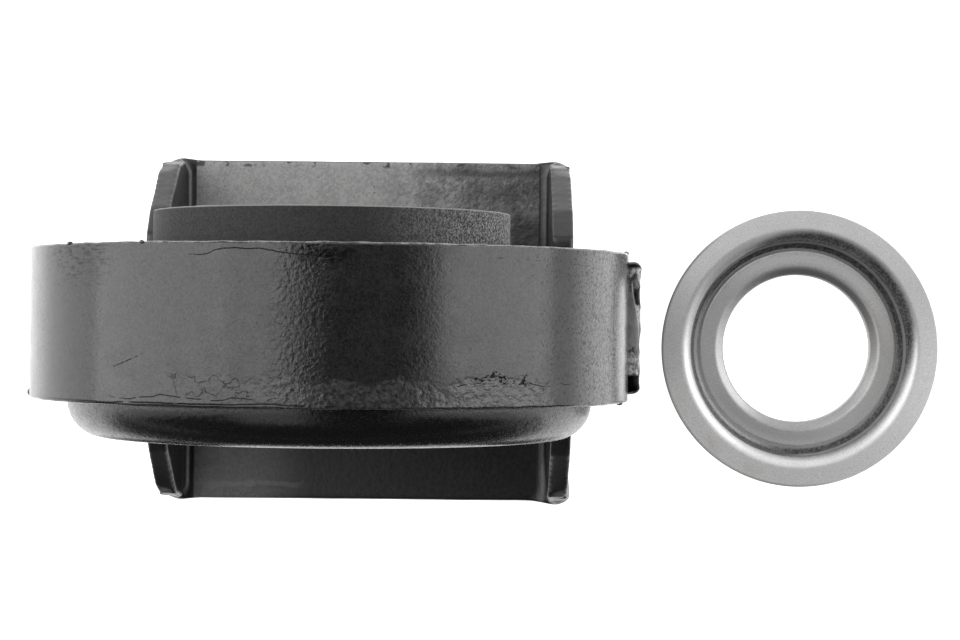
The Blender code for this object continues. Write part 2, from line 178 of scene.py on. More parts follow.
# %% [markdown]
# ## Studio
#
# The photograph shows a pale floor that has gone white, long soft lights to the left and right
# that make the grey bands on the painted cylinder, and dark above and behind. A white floor, two
# tall soft boxes, two more overhead on the left and a few black cards give the same reflections
# with plain light. The cards only take reflections away: they don't show to the camera, and
# neither they nor the floor belong to the part.

# %% Floor and world
bpy.ops.object.select_all(action="DESELECT")
bpy.ops.mesh.primitive_plane_add(size=4.0, location=(0.0, 0.0, 0.0))
floor = bpy.context.object
floor.name = "studio_floor"
floor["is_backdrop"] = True

floor_glow = 1.0
floor_paint, tree, shader = new_material("white_floor", (0.86, 0.86, 0.86), 0.9)
shader.inputs["Specular IOR Level"].default_value = 0.1
light_path = tree.nodes.new("ShaderNodeLightPath").outputs
seen = calc(tree, "MAXIMUM", light_path["Is Camera Ray"], light_path["Is Glossy Ray"])
seen = calc(tree, "MAXIMUM", seen, light_path["Is Transmission Ray"])
glow = add_node(tree, "ShaderNodeEmission", {"Strength": calc(tree, "MULTIPLY", seen, floor_glow)})
both = add_node(tree, "ShaderNodeAddShader", {0: shader.outputs[0], 1: glow.outputs[0]})
tree.links.new(both.outputs[0], tree.nodes["Material Output"].inputs["Surface"])
floor.data.materials.append(floor_paint)

world = bpy.data.worlds.new("studio_world")
world.use_nodes = True
bpy.context.scene.world = world
tree = world.node_tree
light_path = tree.nodes.new("ShaderNodeLightPath").outputs
seen = calc(tree, "MAXIMUM", light_path["Is Camera Ray"], light_path["Is Glossy Ray"])
seen = calc(tree, "MAXIMUM", seen, light_path["Is Transmission Ray"])
strength = ramp(tree, seen, 0.0, 1.0, 0.30, 1.0)
tree.links.new(strength, tree.nodes["Background"].inputs["Strength"])
tree.nodes["Background"].inputs["Color"].default_value = (1.0, 1.0, 1.0, 1.0)
print("floor and world ready")


# %% Lamps and black cards
def add_soft_box(name, place, aim, width, height, radiance):
    """A rectangular lamp that faces a point, with its brightness given as seen."""
    data = bpy.data.lights.new(name, "AREA")
    data.shape = "RECTANGLE"
    data.size = width
    data.size_y = height
    data.energy = radiance * math.pi * width * height
    lamp = bpy.data.objects.new(name, data)
    lamp.location = place
    lamp.rotation_euler = (Vector(aim) - Vector(place)).to_track_quat("-Z", "Y").to_euler()
    bpy.context.scene.collection.objects.link(lamp)
    return lamp


def add_card(name, width, depth, place, turn):
    """A black card that only takes reflections away."""
    bpy.ops.object.select_all(action="DESELECT")
    bpy.ops.mesh.primitive_plane_add(size=1.0, location=place, rotation=turn)
    card = bpy.context.object
    card.name = name
    card.scale = (width, depth, 1.0)
    card.visible_camera = False
    card.visible_diffuse = False
    card.visible_shadow = False
    card.data.materials.append(card_black)
    card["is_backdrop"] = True
    return card


card_black = new_material("black_card", (0.03, 0.03, 0.03), 0.9)[0]
add_soft_box("soft_box_left", (-0.95, 0.36, 0.70), (0.0, 0.36, 0.70), 0.96, 1.30, 2.6)
add_soft_box("soft_box_right", (0.95, 0.37, 0.55), (0.0, 0.37, 0.55), 0.94, 1.00, 2.7)
add_soft_box("soft_box_over", (-0.60, 0.38, 1.25), (-0.60, 0.38, 0.0), 0.60, 1.00, 2.1)
add_soft_box("soft_edge", (-0.225, 0.38, 1.26), (-0.225, 0.38, 0.0), 0.15, 1.00, 1.2)
add_card("card_above", 1.05, 1.36, (0.375, -0.500, 1.30), (0.0, 0.0, 0.0))
add_card("card_behind", 2.40, 1.30, (0.0, -1.20, 0.66), (math.radians(90), 0.0, 0.0))
for name, x in (("card_left", -1.0), ("card_right", 1.0)):
    add_card(name, 0.76, 1.30, (x, -0.82, 0.66), (math.radians(90), 0.0, math.radians(90)))
add_card("card_floor_behind", 1.40, 1.08, (0.025, -0.66, 0.0008), (0.0, 0.0, 0.0))
add_card("card_foot_left", 0.040, 0.060, (-0.055, -0.083, 0.0008), (0.0, 0.0, 0.0))
add_card("card_foot_right", 0.030, 0.060, (0.058, -0.083, 0.0008), (0.0, 0.0, 0.0))
print("lamps and cards ready")

# %% [markdown]
# ## Drawing helpers
#
# Nearly every piece here is sheet or ring, so each starts as an outline that is drawn corner by
# corner, as one would draw it by hand: a plane is collapsed to one vertex, and that vertex is
# extruded from corner to corner. Spinning the closed outline about the bearing's axis gives a
# ring, and filling and extruding it gives a bent plate.


# %% Drawing helpers
def only(piece):
    """Select one object and make it active."""
    if bpy.context.object and bpy.context.object.mode != "OBJECT":
        bpy.ops.object.mode_set(mode="OBJECT")
    bpy.ops.object.select_all(action="DESELECT")
    piece.select_set(True)
    bpy.context.view_layer.objects.active = piece


def rounded(points, radii, facet=0.0005):
    """A path with each inner corner replaced by an arc of its own radius."""
    path = [points[0]]
    for before, corner, after, radius in zip(points, points[1:], points[2:], radii):
        corner_point = Vector(corner)
        back = (Vector(before) - corner_point).normalized()
        ahead = (Vector(after) - corner_point).normalized()
        turn = back.angle(ahead)
        if radius == 0.0:
            path.append(corner)
            continue
        setback = radius / math.tan(turn / 2)
        center = corner_point + (back + ahead).normalized() * radius / math.sin(turn / 2)
        first = (corner_point + back * setback - center).normalized()
        last = (corner_point + ahead * setback - center).normalized()
        steps = max(3, math.ceil(radius * (math.pi - turn) / facet))
        for index in range(steps + 1):
            point = center + first.slerp(last, index / steps) * radius
            path.append((point.x, point.y))
    path.append(points[-1])
    return path


def offset_path(path, distance):
    """The path moved to its right by a distance."""
    moved = []
    for index, point in enumerate(path):
        sides = []
        if index > 0:
            sides.append(Vector(point) - Vector(path[index - 1]))
        if index < len(path) - 1:
            sides.append(Vector(path[index + 1]) - Vector(point))
        normals = [Vector((side.y, -side.x)).normalized() for side in sides]
        middle = sum(normals, Vector((0.0, 0.0))).normalized()
        reach = distance / middle.dot(normals[0])
        moved.append((point[0] + middle.x * reach, point[1] + middle.y * reach))
    return moved


def sheet_outline(corners, radii, thickness, facet=0.0005, edge=0.0003):
    """Closed outline of a bent sheet: its first face runs through the corners, the other lies to
    the right of it, and every bend has its radius on the first face."""
    other = offset_path(corners, thickness)
    side = 1.0 if thickness > 0 else -1.0
    other_radii = []
    for before, corner, after, radius in zip(corners, corners[1:], corners[2:], radii):
        one = Vector(corner) - Vector(before)
        two = Vector(after) - Vector(corner)
        outside = side * one.cross(two) > 0
        change = abs(thickness) if outside else -abs(thickness)
        other_radii.append(max(radius + change, 0.00015))
    far = other[::-1]
    points = corners + far
    all_radii = list(radii) + [edge, edge] + other_radii[::-1] + [edge]
    start = tuple((Vector(corners[0]) + Vector(far[-1])) / 2)
    return rounded([start] + points + [start], [edge] + all_radii, facet)[1:]


def draw_outline(name, places, closed=True):
    """Draw an outline through these places by extruding one vertex from each to the next."""
    if bpy.context.object and bpy.context.object.mode != "OBJECT":
        bpy.ops.object.mode_set(mode="OBJECT")
    bpy.ops.object.select_all(action="DESELECT")
    bpy.ops.mesh.primitive_plane_add(size=0.001, location=(0.0, 0.0, 0.0))
    piece = bpy.context.object
    piece.name = name
    piece.data.name = name
    bpy.ops.object.mode_set(mode="EDIT")
    bpy.ops.mesh.merge(type="CENTER")
    bpy.ops.transform.translate(value=places[0])
    ends = places[1:] + [places[0]] if closed else places[1:]
    for before, after in zip(places, ends):
        step = Vector(after) - Vector(before)
        bpy.ops.mesh.extrude_vertices_move(TRANSFORM_OT_translate={"value": step})
    bpy.ops.mesh.select_all(action="SELECT")
    bpy.ops.mesh.remove_doubles(threshold=1e-7)
    return piece


def close_shape(piece, merge=1e-6):
    """Merge the seam of a spin, turn all faces outwards and go back to object mode."""
    bpy.ops.mesh.select_all(action="SELECT")
    bpy.ops.mesh.remove_doubles(threshold=merge)
    bpy.ops.mesh.normals_make_consistent(inside=False)
    bpy.ops.object.mode_set(mode="OBJECT")
    piece.select_set(True)


def spin_about_shaft(name, outline, steps, angle=360.0, start=0.0):
    """Spin an outline of (radius, place along the shaft) about the bearing's axis."""
    turn = math.radians(start)
    places = []
    for radius, along in outline:
        x = radius * math.cos(turn)
        places.append((x, along, shaft_height - radius * math.sin(turn)))
    piece = draw_outline(name, places)
    if angle < 360.0:
        bpy.ops.mesh.edge_face_add()
        bpy.ops.mesh.select_all(action="SELECT")
    bpy.ops.mesh.spin(
        steps=steps, angle=math.radians(angle), center=(0.0, 0.0, shaft_height), axis=(0.0, 1.0, 0.0)
    )
    close_shape(piece)
    return piece


def apply_modifier(piece, kind, **settings):
    """Add a modifier, set it and apply it."""
    only(piece)
    modifier = piece.modifiers.new(kind.lower(), kind)
    for key, value in settings.items():
        setattr(modifier, key, value)
    bpy.ops.object.modifier_apply(modifier=modifier.name)


def smooth(piece, angle=35.0):
    """Smooth shading that keeps true corners and lets large faces stay flat up to their ends."""
    only(piece)
    bpy.ops.object.shade_smooth_by_angle(angle=math.radians(angle))
    apply_modifier(piece, "WEIGHTED_NORMAL", keep_sharp=True)


def fit_to_frame(piece, body, slot, *nodes):
    """Say which solids a piece stands for and which body carries it; slot is not used."""
    places = [vertex.co for vertex in piece.data.vertices]
    low = [round(min(place[axis] for place in places) * 1000, 1) for axis in range(3)]
    high = [round(max(place[axis] for place in places) * 1000, 1) for axis in range(3)]
    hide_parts(*nodes)
    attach(piece, body)
    finished.append(piece)
    triangles = sum(len(face.vertices) - 2 for face in piece.data.polygons)
    print(piece.name, "from", low, "to", high, "mm, triangles:", triangles)


finished = []
shaft_height = 0.0751
print("drawing helpers ready")

# %% [markdown]
# ## The rolled band
#
# On the real part this is a strip, 31 mm wide and 4 mm thick, rolled to a ring and welded shut.
# Its outline is a rectangle with softened corners, so it could be a pipe section, but spinning
# the drawn rectangle gives full control of how soft each corner is. The two rims are roughened
# afterwards, because sheared strip is never quite straight.

# %% Band
band_radius = 0.0625
band_wall = 0.0040
band_half = 0.0155


def rectangle_outline(inner, outer, low, high, soft, cuts=1):
    """A rectangle with rounded corners, its long sides cut into equal lengths."""
    points = [(outer, high - (high - low) * step / cuts) for step in range(1, cuts)]
    middle = (outer, (low + high) / 2)
    if cuts > 1:
        middle = points[len(points) // 2]
    corners = [middle, (outer, low), (inner, low), (inner, high), (outer, high), middle]
    path = rounded(corners, (soft,) * 4, soft * 0.45)[:-1]
    return path


outline = rectangle_outline(band_radius - band_wall, band_radius, -band_half, band_half, 0.00055)
band = spin_about_shaft("rolled_band", outline, 256)


def roughen(piece, texture_size, amount, axis, limit, seed_offset=0.0):
    """Move chosen vertices by clouds noise along one axis, with a Displace modifier."""
    group = piece.vertex_groups.new(name="rough_edge")
    group.add([v.index for v in piece.data.vertices if limit(v.co)], 1.0, "REPLACE")
    texture = bpy.data.textures.new(piece.name + "_edge", "CLOUDS")
    texture.noise_scale = texture_size
    texture.noise_depth = 3
    apply_modifier(
        piece,
        "DISPLACE",
        texture=texture,
        texture_coords="LOCAL",
        direction=axis,
        mid_level=0.5,
        strength=amount,
        vertex_group="rough_edge",
    )
    piece.vertex_groups.clear()


roughen(band, 0.004, 0.0004, "Y", lambda place: abs(place.y) > band_half - 0.0008)


def add_nib(piece, place, radii):
    """A crumb of spatter under the paint, joined to a piece."""
    bpy.ops.object.select_all(action="DESELECT")
    bpy.ops.mesh.primitive_ico_sphere_add(subdivisions=2, radius=1.0, location=place)
    nib = bpy.context.object
    nib.scale = radii
    bpy.ops.object.transform_apply(location=True, rotation=True, scale=True)
    piece.select_set(True)
    bpy.context.view_layer.objects.active = piece
    bpy.ops.object.join()


nibs = (
    ((-0.0623, -0.0156, 0.0753), (0.0007, 0.0005, 0.0006)),
    ((-0.0627, -0.0147, 0.0780), (0.0009, 0.0009, 0.0008)),
    ((0.0620, 0.0156, 0.0760), (0.0006, 0.0005, 0.0005)),
    ((0.0600, -0.0155, 0.0900), (0.0007, 0.0004, 0.0005)),
    ((-0.0485, 0.0154, 0.1140), (0.0006, 0.0004, 0.0005)),
    ((-0.0325, 0.0154, 0.1284), (0.0005, 0.0004, 0.0005)),
)
for place, radii in nibs:
    add_nib(band, place, radii)
smooth(band, 50.0)
fit_to_frame(band, "support", "gloss_black_paint", "outer_band")

# %% [markdown]
# ## The pressed shell with the rounded dish
#
# The shell is one deep-drawn cup without a floor: it sits in the band, steps in just behind it
# and rolls over into the rounded dish. A single path is drawn through its corners, each corner
# gets the radius of the press tool, and the sheet's thickness is the same path moved sideways.

# %% Shell
shell_radius = band_radius - band_wall - 0.0003
nose_radius = shell_radius - 0.0034
shell_rear = -band_half - 0.0080
shell_mouth = nose_radius - 0.0075 - 0.0035
corners = [
    (shell_radius, band_half - 0.0025),
    (shell_radius, -band_half + 0.0034),
    (nose_radius, -band_half),
    (nose_radius, shell_rear),
    (shell_mouth, shell_rear),
    (shell_mouth, shell_rear + 0.0046),
]
outline = sheet_outline(corners, (0.0012, 0.0012, 0.0075, 0.0022), 0.0016)
shell = spin_about_shaft("pressed_shell", outline, 256)
smooth(shell)
fit_to_frame(shell, "support", "gloss_black_paint", "cushion_shell")

# %% [markdown]
# ## The bearing sleeve, which shows as the collar
#
# The sleeve is thin pressed sheet. Its open end stands out in front of the band as a collar, a
# rolled bead inside it holds the snap ring, and a lip behind stops the bearing. It is drawn the
# same way as the shell, as one path with a thickness.

# %% Sleeve
sleeve_inner = 0.0363
sleeve_sheet = 0.0012
sleeve_radius = sleeve_inner + sleeve_sheet
sleeve_front = band_half + 0.0080
bearing_front = sleeve_front - 0.0110
bearing_rear = bearing_front - 0.0170
bead_front = bearing_front + 0.0015 + 0.0009 + sleeve_sheet
bead_rear = bearing_front + 0.0003 - sleeve_sheet
corners = [
    (sleeve_radius, sleeve_front),
    (sleeve_radius, bead_front),
    (sleeve_radius + 0.0012, bead_front - 0.0006),
    (sleeve_radius + 0.0012, bead_rear + 0.0006),
    (sleeve_radius, bead_rear),
    (sleeve_radius, bearing_rear - 0.0003 - sleeve_sheet),
    (sleeve_inner - 0.0050, bearing_rear - 0.0003 - sleeve_sheet),
]
outline = sheet_outline(corners, (0.0004, 0.0003, 0.0003, 0.0004, 0.0022), sleeve_sheet)
sleeve = spin_about_shaft("bearing_collar", outline, 256)
roughen(sleeve, 0.003, 0.00025, "Y", lambda place: place.y > sleeve_front - 0.0006)
smooth(sleeve)
fit_to_frame(sleeve, "support", "rough_black_paint", "bearing_sleeve")

# %% [markdown]
# ## The rubber cushion
#
# Between the shell and the sleeve a moulded rubber loop lets the bearing float. Its section is a
# U that opens to the front, thick enough to be drawn as two walls and a round bottom. It isn't
# seen from above, but it fills the view from the front, so its mouth gets rounded lips.

# %% Cushion
cushion_outer = shell_radius - 0.0019
cushion_inner = sleeve_radius + 0.0003
cushion_top = band_half - 0.0040
cushion_bottom = -band_half + 0.0115
cushion_wall = 0.0033
cushion_middle = (cushion_outer + cushion_inner) / 2
cushion_bend = (cushion_outer - cushion_inner) / 2 - 0.0001
corners = [
    (cushion_outer, cushion_top),
    (cushion_outer, cushion_bottom - cushion_bend),
    (cushion_middle, cushion_bottom - cushion_bend - 0.0001),
    (cushion_inner, cushion_bottom - cushion_bend),
    (cushion_inner, cushion_top),
]
bends = (cushion_bend * 0.98, 0.0, cushion_bend * 0.98)
outline = sheet_outline(corners, bends, cushion_wall, 0.0008, 0.0007)
cushion = spin_about_shaft("rubber_loop", outline, 192)
smooth(cushion)
fit_to_frame(cushion, "support", "cushion_rubber", "rubber_cushion")

# %% [markdown]
# ## The bearing
#
# A deep-groove ball bearing with two races, nine balls in a two-part ribbon cage and a seal at
# each side. The races are spun outlines with the groove drawn as an arc. The seals are thin
# pressed rings with a raised middle and two fine ribs, as moulded rubber seals have.

# %% Races
ball_radius = 0.00555
pitch_radius = 0.02675
bearing_middle = (bearing_front + bearing_rear) / 2
land = 0.00445
groove = ball_radius + 0.0003
groove_half = math.acos(land / groove)


def groove_points(side):
    """Points across the ball groove, from front to rear, on the outer (1) or inner (-1) race."""
    points = []
    for step in range(13):
        angle = groove_half * (1.0 - step / 6.0)
        points.append((
            pitch_radius + side * groove * math.cos(angle),
            bearing_middle + groove * math.sin(angle),
        ))
    return points


outer_land = pitch_radius + land
recess = outer_land + 0.0014
recess_depth = 0.0018
corners = [
    (recess, bearing_front - recess_depth),
    (recess, bearing_front),
    (0.0360, bearing_front),
    (0.0360, bearing_rear),
    (recess, bearing_rear),
    (recess, bearing_rear + recess_depth),
]
rim = rounded(corners, (0.0002, 0.0010, 0.0010, 0.0002), 0.0003)
outline = rim + [(outer_land, bearing_rear + recess_depth)] + groove_points(1)[::-1]
outline += [(outer_land, bearing_front - recess_depth)]
outer_race = spin_about_shaft("race_outer", outline, 160)
smooth(outer_race)
fit_to_frame(outer_race, "support", "bearing_steel", "outer_race")

inner_land = pitch_radius - land
corners = [
    (inner_land, bearing_rear + 0.0020),
    (inner_land, bearing_rear),
    (0.0175, bearing_rear),
    (0.0175, bearing_front),
    (inner_land, bearing_front),
    (inner_land, bearing_front - 0.0020),
]
rim = rounded(corners, (0.0003, 0.0010, 0.0010, 0.0003), 0.0003)
outline = rim + groove_points(-1)
inner_race = spin_about_shaft("race_inner", outline, 160)
smooth(inner_race)
fit_to_frame(inner_race, "inner_race", "bearing_steel", "inner_race")


# %% Seals
def make_seal(name, side):
    """A seal with a raised middle and two fine ribs, seen from its own side."""
    edge = bearing_middle + side * (0.0085 - 0.0006)
    outer = recess - 0.0003
    inner = inner_land + 0.0003
    high = edge + side * 0.0005
    low = edge + side * 0.0002
    back = edge - side * 0.0009
    corners = [
        (outer, back),
        (outer, edge),
        (outer - 0.0018, edge),
        (outer - 0.0024, high),
        (outer - 0.0038, high),
        (outer - 0.0041, low),
        (outer - 0.0044, high),
        (inner + 0.0024, high),
        (inner + 0.0012, edge),
        (inner, edge),
        (inner, back),
    ]
    outline = rounded(corners, (0.0001,) + (0.0002,) * 7 + (0.0001,), 0.0001)
    seal = spin_about_shaft(name, outline, 160)
    smooth(seal)
    return seal


for name, node, side in (("seal_ring_front", "seal_front", 1), ("seal_ring_rear", "seal_rear", -1)):
    fit_to_frame(make_seal(name, side), "support", "seal_rubber", node)

# %% [markdown]
# Each ball starts as a cube that is subdivided and pushed out to a sphere, which gives even
# faces all round instead of the crowded poles of a globe. It is modelled once and copied round
# the pitch circle, each copy with its own mesh, and each rides on its own body.

# %% Balls
bpy.ops.object.select_all(action="DESELECT")
bpy.ops.mesh.primitive_cube_add(size=2 * ball_radius, location=(0.0, 0.0, 0.0))
first_ball = bpy.context.object
bpy.ops.object.mode_set(mode="EDIT")
bpy.ops.mesh.select_all(action="SELECT")
bpy.ops.mesh.subdivide(number_cuts=11)
bpy.ops.transform.tosphere(value=1.0)
bpy.ops.object.mode_set(mode="OBJECT")
widest = max(vertex.co.length for vertex in first_ball.data.vertices)
for vertex in first_ball.data.vertices:
    vertex.co *= ball_radius / widest
smooth(first_ball, 60.0)
for index in range(9):
    angle = 2 * math.pi * index / 9
    center = Vector((math.cos(angle), 0.0, math.sin(angle))) * pitch_radius
    center += Vector((0.0, bearing_middle, shaft_height))
    mesh = first_ball.data.copy()
    for vertex in mesh.vertices:
        vertex.co += center
    ball = bpy.data.objects.new(f"bearing_ball_{index + 1}", mesh)
    bpy.context.scene.collection.objects.link(ball)
    fit_to_frame(ball, f"ball_{index + 1}", "bearing_steel", f"ball_{index + 1}")
bpy.data.objects.remove(first_ball)

# %% [markdown]
# ## The snap ring
#
# An open ring of spring steel sits in the sleeve's bead, with an eye at each end for pliers. The
# ring is an outline spun through 330 degrees. The eyes are short cylinders joined to its ends
# by a Boolean, and bored by another.

# %% Snap ring
ring_outer = sleeve_inner + 0.0009
ring_inner = ring_outer - 0.0027
ring_rear = bearing_front + 0.0003
ring_front = ring_rear + 0.0015
outline = rectangle_outline(ring_inner, ring_outer, ring_rear, ring_front, 0.00012)
snap = spin_about_shaft("snap_ring_fine", outline, 120, angle=330.0, start=285.0)
eye_reach = ring_inner - 0.0015


def add_rod(name, radius, low, high, x, z):
    """A cylinder along the shaft's direction, with its place in its mesh."""
    bpy.ops.object.select_all(action="DESELECT")
    bpy.ops.mesh.primitive_cylinder_add(
        vertices=48,
        radius=radius,
        depth=high - low,
        location=(x, (low + high) / 2, z),
        rotation=(math.radians(90), 0.0, 0.0),
    )
    rod = bpy.context.object
    rod.name = name
    bpy.ops.object.transform_apply(location=True, rotation=True, scale=True)
    return rod


for side in (-1, 1):
    lead = math.radians(90.0 + side * 17.5)
    x = eye_reach * math.cos(lead)
    z = shaft_height + eye_reach * math.sin(lead)
    lug = add_rod("eye_lug", 0.0027, ring_rear, ring_front, x, z)
    hole = add_rod("eye_hole", 0.00105, ring_rear - 0.001, ring_front + 0.001, x, z)
    apply_modifier(snap, "BOOLEAN", operation="UNION", object=lug, solver="EXACT")
    apply_modifier(snap, "BOOLEAN", operation="DIFFERENCE", object=hole, solver="EXACT")
    bpy.data.objects.remove(lug)
    bpy.data.objects.remove(hole)
smooth(snap)
fit_to_frame(snap, "support", "spring_steel", "snap_ring")

# %% [markdown]
# ## The bracket
#
# The bracket is one plate of 4.7 mm sheet bent up at both sides, with its walls cut out round
# the band. It is drawn as the U of its section, with tight bends, and extruded to its length.
# The walls are then cut by a side outline and by a drum as wide as the band, as a press would
# do it, and the bends get the small bulges that thick sheet always shows at the ends of a bend.

# %% Bracket blank
sheet = 0.0047
wall_inner = band_radius - 0.0190
wall_outer = wall_inner + sheet
plate_half = 0.0408
plate_x = 0.0040
plate_y = -0.0015
bend = 0.0012
outer_bend = bend + sheet
horn_top = shaft_height - 0.536 * band_radius
knee_top = shaft_height - 0.640 * band_radius
wall_top = shaft_height

corners = [
    (-wall_outer, wall_top),
    (-wall_outer, 0.0),
    (wall_outer, 0.0),
    (wall_outer, wall_top),
]
outside = rounded(corners, (outer_bend, outer_bend), 0.0006)
corners = [(wall_inner, wall_top), (wall_inner, sheet), (-wall_inner, sheet), (-wall_inner, wall_top)]
inside = rounded(corners, (bend, bend), 0.0003)
section = [(plate_x + x, -plate_half + plate_y, z) for x, z in outside + inside]
bracket = draw_outline("bent_bracket", section)
bpy.ops.mesh.edge_face_add()
bpy.ops.mesh.extrude_region_move(TRANSFORM_OT_translate={"value": (0.0, 2 * plate_half, 0.0)})
close_shape(bracket)
print("bracket blank faces:", len(bracket.data.polygons))


# %% Cut the walls
def cut_with(piece, cutter, operation="DIFFERENCE"):
    """Apply an exact Boolean with a cutter and take the cutter away."""
    apply_modifier(piece, "BOOLEAN", operation=operation, object=cutter, solver="EXACT")
    bpy.data.objects.remove(cutter)


end_top = sheet + 0.0150
side = [
    (-0.10, -0.01),
    (0.10, -0.01),
    (0.10, sheet + 0.0010),
    (plate_half, sheet + 0.0010),
    (plate_half - 0.0020, end_top),
    (0.0280, knee_top),
    (0.0215, horn_top),
    (-0.0215, horn_top),
    (-0.0280, knee_top),
    (-plate_half + 0.0020, end_top),
    (-plate_half, sheet + 0.0010),
    (-0.10, sheet + 0.0010),
]
outline = [(-0.08, plate_y + y, z) for y, z in side]
blank = draw_outline("side_outline", outline)
bpy.ops.mesh.edge_face_add()
bpy.ops.mesh.extrude_region_move(TRANSFORM_OT_translate={"value": (0.16, 0.0, 0.0)})
close_shape(blank)
cut_with(bracket, blank, "INTERSECT")

drum_side = band_half + 0.0006
drum_low = -0.06
corners = [
    (0.001, drum_side),
    (band_radius + 0.0003, drum_side),
    (band_radius + 0.0003, -drum_side),
    (nose_radius + 0.0006, -drum_side),
    (nose_radius + 0.0006, drum_low),
    (0.001, drum_low),
]
drum = spin_about_shaft("band_drum", corners, 256)
cut_with(bracket, drum)
for x in (plate_x - 0.025, plate_x + 0.025):
    bpy.ops.object.select_all(action="DESELECT")
    bpy.ops.mesh.primitive_cylinder_add(
        vertices=64, radius=0.00625, depth=0.03, location=(x, 0.0, 0.0)
    )
    cut_with(bracket, bpy.context.object)
print("cut bracket faces:", len(bracket.data.polygons))

# %% [markdown]
# A cut plate has knife-sharp edges and flat ends. A voxel remesh gives it an even skin of small
# faces, smoothing rounds every edge as thick paint does, and soft pulls with proportional
# editing then make the bulges at the inside of each bend's ends and draw the outside in.


# %% Soften the bracket
def pull(piece, place, step, reach):
    """Pull the skin round a place along a step, softly, as far out as the reach."""
    only(piece)
    bpy.ops.object.mode_set(mode="EDIT")
    bpy.ops.mesh.select_mode(type="VERT")
    bpy.ops.mesh.select_all(action="DESELECT")
    skin = bmesh.from_edit_mesh(piece.data)
    nearest = min(skin.verts, key=lambda vertex: (vertex.co - Vector(place)).length)
    nearest.select = True
    bmesh.update_edit_mesh(piece.data)
    bpy.ops.transform.translate(
        value=step,
        use_proportional_edit=True,
        proportional_edit_falloff="SMOOTH",
        proportional_size=reach,
    )
    bpy.ops.object.mode_set(mode="OBJECT")


apply_modifier(bracket, "REMESH", mode="VOXEL", voxel_size=0.00058)
apply_modifier(bracket, "SMOOTH", factor=0.5, iterations=3)
for across in (-1, 1):
    for along in (-1, 1):
        end_y = plate_y + along * plate_half
        inner_x = plate_x + across * (wall_inner + 0.0004)
        outer_x = plate_x + across * wall_outer
        top_x = outer_x - across * 0.0008
        pull(bracket, (inner_x, end_y, sheet + 0.0008), (0.0, along * 0.0006, 0.0003), 0.0045)
        pull(bracket, (inner_x, end_y, sheet + 0.0006), (across * 0.0014, 0.0, 0.0002), 0.0040)
        pull(bracket, (top_x, end_y, end_top), (across * -0.0004, 0.0, -0.0016), 0.0045)
        pull(bracket, (outer_x, end_y, sheet + 0.0040), (0.0, along * -0.0016, 0.0), 0.0060)
corner = (plate_x + wall_outer, plate_y - plate_half + 0.0020, sheet + 0.0030)
pull(bracket, corner, (0.0009, -0.0006, 0.0), 0.0110)
for name, size, amount, floor_share in (("wall_waves", 0.0100, 0.0003, 0.05), ("nicks", 0.0013, 0.00005, 0.30)):
    waves = bpy.data.textures.new(name, "CLOUDS")
    waves.noise_scale = size
    waves.noise_depth = 2
    group = bracket.vertex_groups.new(name="wavy")
    for vertex in bracket.data.vertices:
        high = min(max((vertex.co.z - sheet - 0.0005) / 0.002, 0.0), 1.0)
        rim = min(max((abs(vertex.co.y - plate_y) - plate_half + 0.0012) / 0.001, 0.0), 1.0)
        group.add([vertex.index], max(high, rim * 0.5, floor_share), "REPLACE")
    apply_modifier(
        bracket,
        "DISPLACE",
        texture=waves,
        texture_coords="LOCAL",
        mid_level=0.5,
        strength=amount,
        vertex_group="wavy",
    )
    bracket.vertex_groups.clear()
smooth(bracket, 60.0)
fit_to_frame(bracket, "support", "gloss_black_paint", "bracket")

# %% [markdown]
# ## The seam bead
#
# The bead that closes the band is a frozen puddle of metal, flat on top where it ran out and full
# of facets. A squashed, bevelled block is remeshed to small even faces and pushed about by three
# noises: broad swells, facets with sharp ridges, and fine grit.

# %% Seam bead on the band
seam_length = 0.0278
bpy.ops.object.select_all(action="DESELECT")
place = (band_radius + 0.0002, -0.0001, shaft_height)
bpy.ops.mesh.primitive_cube_add(size=1.0, location=place, scale=(0.0046, seam_length, 0.0084))
seam = bpy.context.object
seam.name = "seam_bead"
seam.data.name = "seam_bead"
bpy.ops.object.transform_apply(location=True, rotation=True, scale=True)
apply_modifier(seam, "BEVEL", width=0.0016, segments=4)
apply_modifier(seam, "REMESH", mode="VOXEL", voxel_size=0.00028)
for kind, size, amount in (("CLOUDS", 0.0080, 0.0003), ("VORONOI", 0.0040, 0.0007), ("CLOUDS", 0.0009, 0.0002)):
    texture = bpy.data.textures.new("seam_" + kind.lower(), kind)
    texture.noise_scale = size
    apply_modifier(
        seam, "DISPLACE", texture=texture, texture_coords="LOCAL", mid_level=0.55, strength=amount
    )
smooth(seam, 60.0)
fit_to_frame(seam, "support", "painted_weld", "band_seam_weld")

# %% [markdown]
# ## The dust ring
#
# The dust ring is pressed from 1.2 mm sheet: a nearly flat flange, a steep step down into a
# narrow groove, a crowned floor and a neck turned down round the bore. It is drawn as one path
# and spun about its own upright axis.

# %% Dust ring
ring_x = band_radius + 0.0123 + 0.0332
ring_y = -0.0048
corners = [
    (0.0332, 0.0088),
    (0.0262, 0.0095),
    (0.0254, 0.0047),
    (0.0242, 0.0033),
    (0.0235, 0.0043),
    (0.0196, 0.0040),
    (0.01775, 0.0028),
    (0.01775, 0.0),
]
bends = (0.0030, 0.0006, 0.0005, 0.0005, 0.0022, 0.0010)
outline = sheet_outline(corners, bends, -0.0012, 0.00025, 0.00028)
places = [(ring_x + radius, ring_y, height) for radius, height in outline]
dust_ring = draw_outline("pressed_dust_ring", places)
bpy.ops.mesh.spin(
    steps=256, angle=math.radians(360), center=(ring_x, ring_y, 0.0), axis=(0.0, 0.0, 1.0)
)
close_shape(dust_ring)
smooth(dust_ring)
fit_to_frame(dust_ring, "support", "pressed_steel", "dust_ring")

